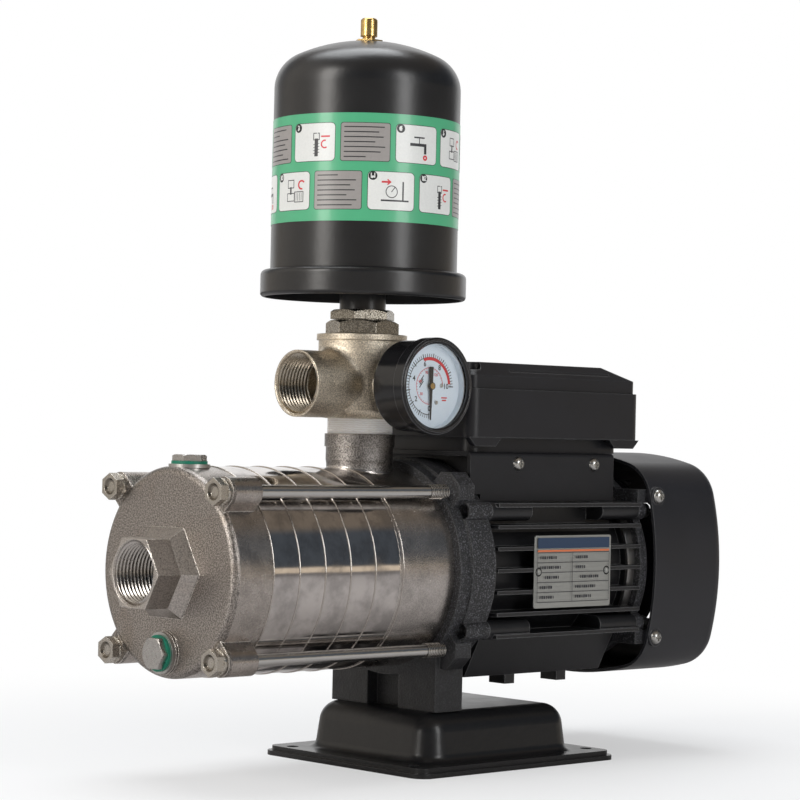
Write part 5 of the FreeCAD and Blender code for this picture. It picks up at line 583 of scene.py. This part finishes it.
PRINT_WIDTH, RULE = 0.0600, 0.00035
ROWS, ROW_HEIGHT, FIRST_RULE = 5, 0.0056, 0.0108
FIELD_LEFT, FIELD_STEP = -0.0275, 0.0295
DASH, DASH_STEP = 0.0011, 0.0018
bm = bmesh.new()
patch(bm, PRINT_WIDTH, 0.0060, (0, 0.0162))
on_plate("nameplate_band", bm, ink("dark_blue_ink", (0.018, 0.040, 0.085)), 0.00003)
bm = bmesh.new()
patch(bm, PRINT_WIDTH, 0.0011, (0, 0.0118))
on_plate("nameplate_line", bm, ink("orange_ink", (0.62, 0.16, 0.06)), 0.00003)
bm = bmesh.new()
for row in range(ROWS + 1):
    patch(bm, PRINT_WIDTH, RULE, (0, FIRST_RULE - row * ROW_HEIGHT))
for column in (-PRINT_WIDTH / 2, -0.001, PRINT_WIDTH / 2):
    patch(bm, RULE, ROWS * ROW_HEIGHT, (column, FIRST_RULE - ROWS * ROW_HEIGHT / 2))
for field, dashes in enumerate((8, 6, 10, 5, 7, 9, 6, 10, 7, 8)):
    row, column = divmod(field, 2)
    indent = 0.004 if row == 2 else 0
    for dash in range(dashes):
        patch(bm, DASH + 0.0004 * ((dash * 7 + field * 3) % 3 - 1), 0.0016,
              (FIELD_LEFT + column * FIELD_STEP + dash * DASH_STEP + indent,
               FIRST_RULE - (row + 0.5) * ROW_HEIGHT))
on_plate("nameplate_table", bm, ink("grey_black_ink", (0.05, 0.05, 0.055)), 0.00004)


# ---------------------------------------------------------------- five-way fitting
# Cast brass fitting, nickel-plated over its grain, screwed on the stub with
# thread tape. It carries the tank, the gauge and the switch.
FITTING_X = (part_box("tank_base")[0].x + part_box("tank_base")[1].x) / 2
PORT_Z = 0.2118
nickel = Finish("plated_cast_brass", Metallic=1.0)
grains = nickel.noise(0.0007, 2, 0.75)
swell = nickel.noise(0.012, 3, 0.6)
near_mouth = nickel.parts(nickel.where())[0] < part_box("five_way_fitting")[0].x + 0.0006
plated = nickel.blend(swell, (0.96, 0.87, 0.73), (0.86, 0.77, 0.62))
nickel.set(Base_Color=nickel.blend(grains.step(0.36, 0.64), (0.44, 0.38, 0.30), plated),
           Roughness=0.32 + grains * 0.18 - near_mouth * 0.1)
nickel.relief((swell, 0.0005), (grains * (1 - near_mouth), 0.00022), edge=0.0010,
              glint=(0.95, 0.88, 0.76))
dress(nickel, "five_way_fitting")
tapped("outlet_thread", "five_way_fitting", PORT_Z, 0.0199,
       steel("plated_thread", (0.56, 0.51, 0.43), 0.24))

hexagon = Finish("plated_hexagon", Metallic=1.0)
grains = hexagon.noise(0.0009, 3, 0.7)
hexagon.set(Base_Color=hexagon.blend(grains.step(0.35, 0.7), (0.22, 0.20, 0.165),
                                     (0.54, 0.50, 0.43)),
            Roughness=0.16 + grains * 0.2)
hexagon.relief((grains, 0.00014), edge=0.0006, glint=(0.90, 0.84, 0.74))
dress(hexagon, "tank_bushing", "tank_nut")

tape = Finish("thread_tape", Roughness=0.5, Subsurface_Weight=0.1)
wraps = tape.node("TexWave", {"bands_direction": "Z"}, {
    "Vector": tape.where(), "Scale": 260.0, "Distortion": 3.0, "Detail": 2.0,
    "Detail Scale": 2.0})
tape.set(Base_Color=tape.blend(wraps, (0.86, 0.77, 0.70), (0.96, 0.90, 0.84)))
tape.relief((wraps, 0.00012), (tape.noise(0.003, 3), 0.0004))
dress(tape, "thread_tape")


# ---------------------------------------------------------------- pressure gauge
# Pressure gauge in a black steel case: white dial behind glass under a screwed
# bezel. The scale starts at the bottom and runs clockwise to the right.
gloss = Finish("gloss_black_case")
sheen = gloss.noise(0.01, 3)
gloss.set(Base_Color=gloss.blend(sheen, (0.007, 0.007, 0.008), (0.011, 0.011, 0.012)),
          Roughness=0.12 + sheen * 0.12)
gloss.relief((gloss.noise(0.006, 1), 0.00005), edge=0.0006, glint=grey(0.16, 0.17))
dress(gloss, "gauge_bezel", "gauge_case", "pressure_switch")
dress(clouded("dial_card", (0.62, 0.71, 0.78), (0.70, 0.76, 0.81), 0.004, 0.5), "gauge_dial")

glass = Tree(bpy.data.materials.new("gauge_glass"))
glass.nodes.remove(glass.nodes["Principled BSDF"])
outside = 1 - glass.node("NewGeometry", output="Backfacing")
mirrored = glass.node("Fresnel", None, {"IOR": 1.45}) * outside
glass.fill(glass.nodes["Material Output"].inputs["Surface"], glass.node("MixShader", None, {
    0: mirrored, 1: glass.node("BsdfTransparent"),
    2: glass.node("BsdfGlossy", None, {"Roughness": 0.02})}))
dress(glass, "gauge_window")

DIAL_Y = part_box("gauge_window")[1].y + 0.0035
START, SWEEP = math.radians(-90), math.radians(270)


def polar(radius, angle, centre=(0, 0)):
    """Point of the XY plane at a radius and an angle from a centre."""
    return centre[0] + radius * math.cos(angle), centre[1] + radius * math.sin(angle)


def reading(share):
    """Angle of the needle's tip at a share of the scale."""
    return START - SWEEP * share


def on_dial(name, bm, finish, lift):
    """Lay a print on the dial, lift metres in front of it."""
    stood_up(name, bm, finish, (FITTING_X, DIAL_Y - lift, PORT_Z))


def ticks(bm, count, inner, outer, width, skip=None):
    """Scale lines between two radii; those on a multiple of skip are left out."""
    for number in range(count + 1):
        if skip and number % skip == 0:
            continue
        angle = reading(number / count)
        patch(bm, outer - inner, width, polar((inner + outer) / 2, angle), turn=angle)


def arc(bm, centre, radius, width, first, last, steps):
    """Printed arc about a centre, anticlockwise from one angle to another."""
    ends = [bm.verts.new((*polar(size, first, centre), 0))
            for size in (radius - width / 2, radius + width / 2)]
    edge = bm.edges.new(ends)
    bmesh.ops.spin(bm, geom=ends + [edge], cent=(*centre, 0), axis=(0, 0, 1), dvec=(0, 0, 0),
                   angle=last - first, steps=steps,
                   use_merge=math.isclose(last - first, math.tau))


def written(bm, text, size, spot):
    """Plain numeral in the XY plane, centred on a spot."""
    curve = bpy.data.curves.new("numeral", "FONT")
    curve.body, curve.size = text, size
    curve.align_x, curve.align_y = "CENTER", "CENTER"
    curve.resolution_u = 2
    curve.offset = size * 0.02
    holder = bpy.data.objects.new("numeral", curve)
    mesh = bpy.data.meshes.new_from_object(holder)
    mesh.transform(Matrix.Translation((*spot, 0)))
    bm.from_mesh(mesh)
    bpy.data.objects.remove(holder)
    bpy.data.curves.remove(curve)
    bpy.data.meshes.remove(mesh)


TICK_OUTER, NUMERALS_AT = 0.0179, 0.0124
bm = bmesh.new()
ticks(bm, 10, 0.0146, TICK_OUTER, 0.00058)
ticks(bm, 50, 0.0156, TICK_OUTER - 0.0003, 0.00038, skip=5)
arc(bm, (0, 0), 0.0156, 0.0004, reading(1), reading(0), 96)
for number in range(6):
    written(bm, str(number * 2), 0.0040, polar(NUMERALS_AT, reading(number / 5)))
for row, width in enumerate((0.0052, 0.0040, 0.0046)):
    patch(bm, width, 0.0006, (-0.0062, 0.0036 - row * 0.0014), turn=0.9)
on_dial("dial_print", bm, ink("black_dial_ink", (0.012, 0.012, 0.014)), 0.00005)

RED_SCALE, RED_NUMERALS_AT = 0.0100, 0.0076
bm = bmesh.new()
arc(bm, (0, 0), 0.01485, 0.0017, reading(0.98), reading(0.60), 60)
arc(bm, (0, 0), RED_SCALE - 0.00005, 0.0003, reading(1), reading(0), 72)
ticks(bm, 28, RED_SCALE - 0.0010, RED_SCALE, 0.0002)
for number in range(1, 5):
    written(bm, str(number * 30), 0.0022, polar(RED_NUMERALS_AT, reading(number / 5)))
for width, height in ((0.0044, -0.0062), (0.0034, -0.0076)):
    patch(bm, width, 0.0007, (0.0112, height))
on_dial("dial_red_print", bm, ink("red_dial_ink", (0.55, 0.02, 0.03)), 0.00008)

SCREW_HEIGHT = 0.0007
bm = bmesh.new()
for across, up in ((0.0089, 0.0004), (0.0051, -0.0089)):
    made = bmesh.ops.create_cone(bm, segments=20, radius1=0.0012, radius2=0.0010,
                                 depth=SCREW_HEIGHT, cap_ends=True)["verts"]
    bmesh.ops.translate(bm, verts=made, vec=(across, up, SCREW_HEIGHT / 2))
on_dial("dial_screws", bm, zinc, 0.0)

HUB_RADIUS = 0.0016
needle = Finish("gauge_hand")
across, _, up = needle.parts(needle.where((FITTING_X, 0, PORT_Z)))
hub = ((across ** 2 + up ** 2) ** 0.5) < HUB_RADIUS
tone = needle.noise(0.001, 2)
hand = needle.blend(tone, (0.008, 0.008, 0.009), (0.014, 0.014, 0.015))
needle.set(Base_Color=needle.blend(hub, hand, (0.62, 0.42, 0.16)), Metallic=hub,
           Roughness=0.3 + tone * 0.1)
dress(needle, "gauge_needle")


# ---------------------------------------------------------------- tank
# One litre pressure tank: drawn steel shell rolled into a skirted base, satin
# black paint over both, with a rubber diaphragm inside.
satin = Finish("satin_black_paint", Coat_Weight=0.15, Coat_Roughness=0.25)
flow = satin.noise(0.02, 4)
satin.set(Base_Color=satin.blend(flow, (0.008, 0.008, 0.009), (0.013, 0.013, 0.014)),
          Roughness=0.25 + flow * 0.12)
satin.relief((satin.noise(0.003, 1), 0.00004), (satin.noise(0.0006, 2), 0.00001), edge=0.0008)
dress(satin, "tank_shell", "tank_base")


# ---------------------------------------------------------------- tank label
# Laminated green label round the tank. Its print is a plain set of white
# panels with numerals, line drawings of taps, drops, pipes and arrows, and
# grey panels ruled with dashes.
label_low, label_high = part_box("tank_label")
LABEL_RADIUS = (label_high.x - label_low.x) / 2
LABEL_Z = (label_low.z + label_high.z) / 2
LABEL_FRONT = math.radians(226.8)
film = Finish("green_label", Coat_Weight=0.3, Coat_Roughness=0.12)
film.set(Base_Color=film.blend(film.noise(0.02, 3), (0.074, 0.400, 0.200),
                               (0.088, 0.450, 0.228)),
         Roughness=0.28 + film.noise(0.004, 3) * 0.1)
film.relief((film.noise(0.012, 2), 0.0001))
dress(film, "tank_label")


def round_tank(name, bm, finish, lift):
    """Wrap a print made in the XY plane round the tank; X runs round it from the front."""
    for vert in bm.verts:
        x, y = polar(LABEL_RADIUS + lift, LABEL_FRONT + vert.co.x / LABEL_RADIUS)
        vert.co = (FITTING_X + x, y, LABEL_Z + vert.co.y)
    bm.normal_update()
    finished(name, bm, finish)


def panel(bm, width, height, spot, corner):
    """Rounded rectangle, cut across so that it bends round the tank."""
    made = patch(bm, width, height, spot, 10)
    ends = [vert for vert in made if len(vert.link_edges) == 2]
    bmesh.ops.bevel(bm, geom=ends, offset=corner, offset_type="OFFSET", segments=4,
                    profile=0.5, affect="VERTICES", material=-1)


class Pen:
    """Draws a picture about a spot on the label, with lengths in millimetres."""

    def __init__(self, bm, spot):
        self.bm, self.spot = bm, spot

    def at(self, x, y):
        return self.spot[0] + x * 0.001, self.spot[1] + y * 0.001

    def line(self, x1, y1, x2, y2, width=0.45):
        """Straight line between two points."""
        start, end = Vector(self.at(x1, y1)), Vector(self.at(x2, y2))
        along = end - start
        patch(self.bm, along.length + width * 0.001, width * 0.001, (start + end) / 2,
              max(1, int(along.length / 0.002)), math.atan2(along.y, along.x))

    def box(self, x, y, width, height):
        """Outline of a rectangle about a point."""
        left, right = x - width / 2, x + width / 2
        low, high = y - height / 2, y + height / 2
        for ends in ((left, low, right, low), (left, high, right, high),
                     (left, low, left, high), (right, low, right, high)):
            self.line(*ends)

    def ring(self, x, y, radius, width=0.45, first=0.0, last=1.0):
        """Circle about a point, or the part of it between two shares of a turn."""
        arc(self.bm, self.at(x, y), radius * 0.001, width * 0.001, math.tau * first,
            math.tau * last, 24)


def tap(black, red):
    """Tap with a drop under it."""
    black.line(-6, 1, 3, 1, 1.6)
    black.line(3, 1, 3, -3, 1.6)
    black.line(-1, 1, -1, 5)
    black.line(-4, 5, 2, 5, 0.8)
    red.ring(3, -5.8, 1.0, 1.0)


def machine(black, red):
    """Pump and motor, with the way they turn."""
    black.box(-3, -2, 6, 4.2)
    black.box(3.5, -2, 6.5, 5.5)
    for number in range(4):
        black.line(1.5 + number * 1.3, -4, 1.5 + number * 1.3, 0, 0.3)
    black.line(-3, 0.1, -3, 3, 1.2)
    black.box(-3, 5.2, 5, 4.2)
    red.ring(5.5, 4.5, 2.2, 0.9, 0.1, 0.8)


def pipework(black, red):
    """Pipes with a gauge, and an arrow."""
    black.line(-7.5, -4, 7.5, -4, 0.9)
    black.line(4.5, -4, 4.5, 6, 0.9)
    black.ring(-2, 0.8, 3.2)
    black.line(-2, 0.8, -0.4, 3)
    red.line(-7.2, 6, -3.0, 6, 1.0)
    red.line(-4.2, 7.2, -2.8, 6, 0.7)
    red.line(-4.2, 4.8, -2.8, 6, 0.7)


def valve(black, red):
    """Threaded valve with the way its cap turns."""
    black.line(0, -5.5, 0, 2, 2.2)
    black.box(0, 4.2, 3.6, 3.6)
    for number in range(4):
        black.line(-1.8, -5 + number * 1.6, 1.8, -4.4 + number * 1.6, 0.3)
    red.line(3.4, 4.2, 7.8, 4.2, 0.9)
    red.ring(5.2, 0, 2.0, 0.8, 0.2, 0.85)


PANEL_WIDTH, DASHED_WIDTH, PANEL_HEIGHT, BORDER = 0.0262, 0.0268, 0.0205, 0.0007
DISC_RADIUS, NUMERAL_SIZE = 0.0024, 0.0038
LINES, LINE_STEP = 7, 0.0027
PANELS_ROUND = 11
PANEL_STEP = math.tau / PANELS_ROUND * LABEL_RADIUS
ROW_LEVELS = (0.0135, -0.0127)
DRAWN = ((-4, -3, -1, 1, 2, 4, 5), (-5, -3, -2, 0, 1, 3))
DASH_LENGTHS = (0.022, 0.019, 0.0215, 0.017, 0.0225, 0.020, 0.012)
motifs = (machine, tap, valve, pipework)
panels, dashed, rims, marks, reds, discs, figures = (bmesh.new() for _ in range(7))
number = 0
for row, (level, drawn) in enumerate(zip(ROW_LEVELS, DRAWN)):
    for column in drawn:
        x = (column + row * 0.5) * PANEL_STEP
        panel(panels, PANEL_WIDTH, PANEL_HEIGHT, (x, level), 0.0022)
        panel(rims, PANEL_WIDTH + BORDER, PANEL_HEIGHT + BORDER, (x, level), 0.0025)
        middle = (x + 0.002, level - 0.0012)
        motifs[(number * 3 + row) % 4](Pen(marks, middle), Pen(reds, middle))
        number += 1
        corner = (x - 0.0105, level + 0.0080)
        made = bmesh.ops.create_circle(discs, cap_ends=True, radius=DISC_RADIUS,
                                       segments=20)["verts"]
        bmesh.ops.translate(discs, verts=made, vec=(*corner, 0))
        written(figures, str(number), NUMERAL_SIZE, corner)
    for column in [column for column in range(-5, 6) if column not in drawn]:
        x = (column + row * 0.5) * PANEL_STEP
        panel(dashed, DASHED_WIDTH, PANEL_HEIGHT, (x, level), 0.0012)
        panel(rims, DASHED_WIDTH + BORDER, PANEL_HEIGHT + BORDER, (x, level), 0.0014)
        for line in range(LINES):
            width = DASH_LENGTHS[(line + column) % 7]
            patch(marks, width, 0.0006,
                  (x - 0.0117 + width / 2, level + 0.0081 - line * LINE_STEP), 8)

label_white = ink("label_white", (0.72, 0.72, 0.69), 0.32)
round_tank("label_outlines", rims, ink("label_dark_green", (0.02, 0.07, 0.04), 0.35), 0.00003)
round_tank("label_panels", panels, label_white, 0.00006)
round_tank("label_grey_panels", dashed, ink("label_grey", (0.30, 0.28, 0.265), 0.32), 0.00006)
round_tank("label_drawings", marks, ink("label_black", (0.03, 0.03, 0.033), 0.35), 0.00009)
round_tank("label_red_marks", reds, ink("label_red", (0.60, 0.03, 0.04), 0.35), 0.00010)
round_tank("label_discs", discs, ink("label_disc_black", (0.012, 0.012, 0.014), 0.35), 0.00009)
round_tank("label_numerals", figures, label_white, 0.00012)


# ---------------------------------------------------------------- air valve
# Brass air valve in the middle of the dome: threaded stem with a nut, sprung
# pin inside, and a screwed cap.
brass = Finish("turned_brass", Metallic=1.0)
tarnish = brass.noise(0.002, 4, 0.65)
brass.set(Base_Color=brass.blend(tarnish.step(0.35, 0.75), (0.76, 0.54, 0.22),
                                 (0.42, 0.26, 0.09)),
          Roughness=0.16 + tarnish * 0.22)
brass.relief((brass.noise(0.0007, 2), 0.00002), edge=0.0004)
dress(brass, "valve_stem", "valve_cap", "valve_pin", "valve_washer")

VALVE_ROOT, VALVE_CREST, VALVE_PITCH, VALVE_THREAD_LENGTH = 0.00335, 0.00365, 0.0008, 0.0026
bm = bmesh.new()
thread(bm, VALVE_ROOT, VALVE_CREST, VALVE_PITCH, VALVE_THREAD_LENGTH, 32)
bmesh.ops.rotate(bm, verts=bm.verts, matrix=Matrix.Rotation(-math.pi / 2, 3, "Y"))
bmesh.ops.translate(bm, verts=bm.verts, vec=(FITTING_X, 0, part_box("valve_washer")[1].z))
finished("valve_stem_thread", bm, brass)


# ---------------------------------------------------------------- studio
# White floor and a white room behind the pump, a dim room on the camera's
# side, three soft lamps, and the camera low at the front left of the pump.
EYE = Vector((-1.038177, -1.054788, 0.187552))
RIGHT = Vector((0.728313, -0.684859, 0.022988))
UP = Vector((-0.030888, 0.000703, 0.999523))
AHEAD = Vector((0.684549, 0.728675, 0.020642))

boards = Finish("studio_floor", Roughness=0.9)
boards.set(Base_Color=boards.blend(boards.node("LightPath", output="Is Glossy Ray"),
                                   grey(0.85), (0.50, 0.475, 0.46)))
away = boards.node("VectorMath", {"operation": "LENGTH"}, {0: boards.where()}, "Value")
white_share = (0.45 + away.step(0.12, 0.55) * 0.55) * boards.node("LightPath",
                                                                  output="Is Camera Ray")
boards.fill(boards.nodes["Material Output"].inputs["Surface"], boards.node("MixShader", None, {
    0: white_share, 1: Wire(boards, boards.shader.outputs[0]),
    2: boards.node("Emission", None, {"Color": (1, 1, 1), "Strength": 1.0})}))
bm = bmesh.new()
bmesh.ops.create_circle(bm, cap_ends=True, radius=14, segments=64)
meshed("floor", bm, boards)

world = bpy.data.worlds.new("studio")
bpy.context.scene.world = world
room = Tree(world)
direction = room.node("TexCoord", output="Generated")
height = room.parts(direction)[2]
back_wall = room.dot(direction, tuple(AHEAD)).step(0.70, 0.86)
side_wall = room.dot(direction, (-0.74, 0.62, 0.26)).step(0.62, 0.97)
ceiling = height.step(0.50, 0.60)
skirting = 1 - height.step(0.055, 0.085)
walls = room.blend(ceiling, (0.070, 0.082, 0.098), (0.19, 0.16, 0.13))
walls = room.blend(skirting, walls, (0.78, 0.67, 0.53))
walls = room.blend(side_wall, walls, (0.80, 0.74, 0.66))
walls = room.blend(back_wall, walls, grey(1.0))
soft_light = room.blend(room.node("LightPath", output="Is Glossy Ray"), (0.33, 0.34, 0.36), walls)
shown = room.blend(room.node("LightPath", output="Is Camera Ray"), soft_light, grey(1.0))
room.fill(room.nodes["Background"].inputs["Color"], shown)


def lamp(name, spot, aim, size, watts, colour):
    """Soft rectangular lamp."""
    light = bpy.data.lights.new(name, "AREA")
    light.shape, light.size, light.size_y = "RECTANGLE", *size
    light.energy, light.color = watts, colour
    holder = linked(name, light)
    holder.location = spot
    holder.rotation_euler = (Vector(aim) - Vector(spot)).to_track_quat("-Z", "Y").to_euler()


lamp("left_softbox", (-1.95, 0.1, 1.0), (-0.1, 0, 0.25), (0.6, 1.4), 20, (1.0, 0.97, 0.93))
lamp("front_softbox", (0.05, -1.95, 0.85), (0, 0, 0.25), (0.55, 1.3), 13, (1.0, 1.0, 1.0))
lamp("overhead_softbox", (0.1, 0.4, 1.7), (0, 0, 0.2), (1.2, 0.9), 16, (0.94, 0.97, 1.0))

lens = bpy.data.cameras.new("camera")
lens.sensor_width, lens.lens = 36.0, 115.18
lens.shift_x, lens.shift_y = 0.01364, -0.02897
lens.clip_end = 60
camera = linked("camera", lens)
camera.matrix_world = (Matrix.Translation(EYE)
                       @ Matrix((RIGHT, UP, -AHEAD)).transposed().to_4x4())
bpy.context.scene.camera = camera
bpy.context.scene.view_settings.view_transform = "Standard"
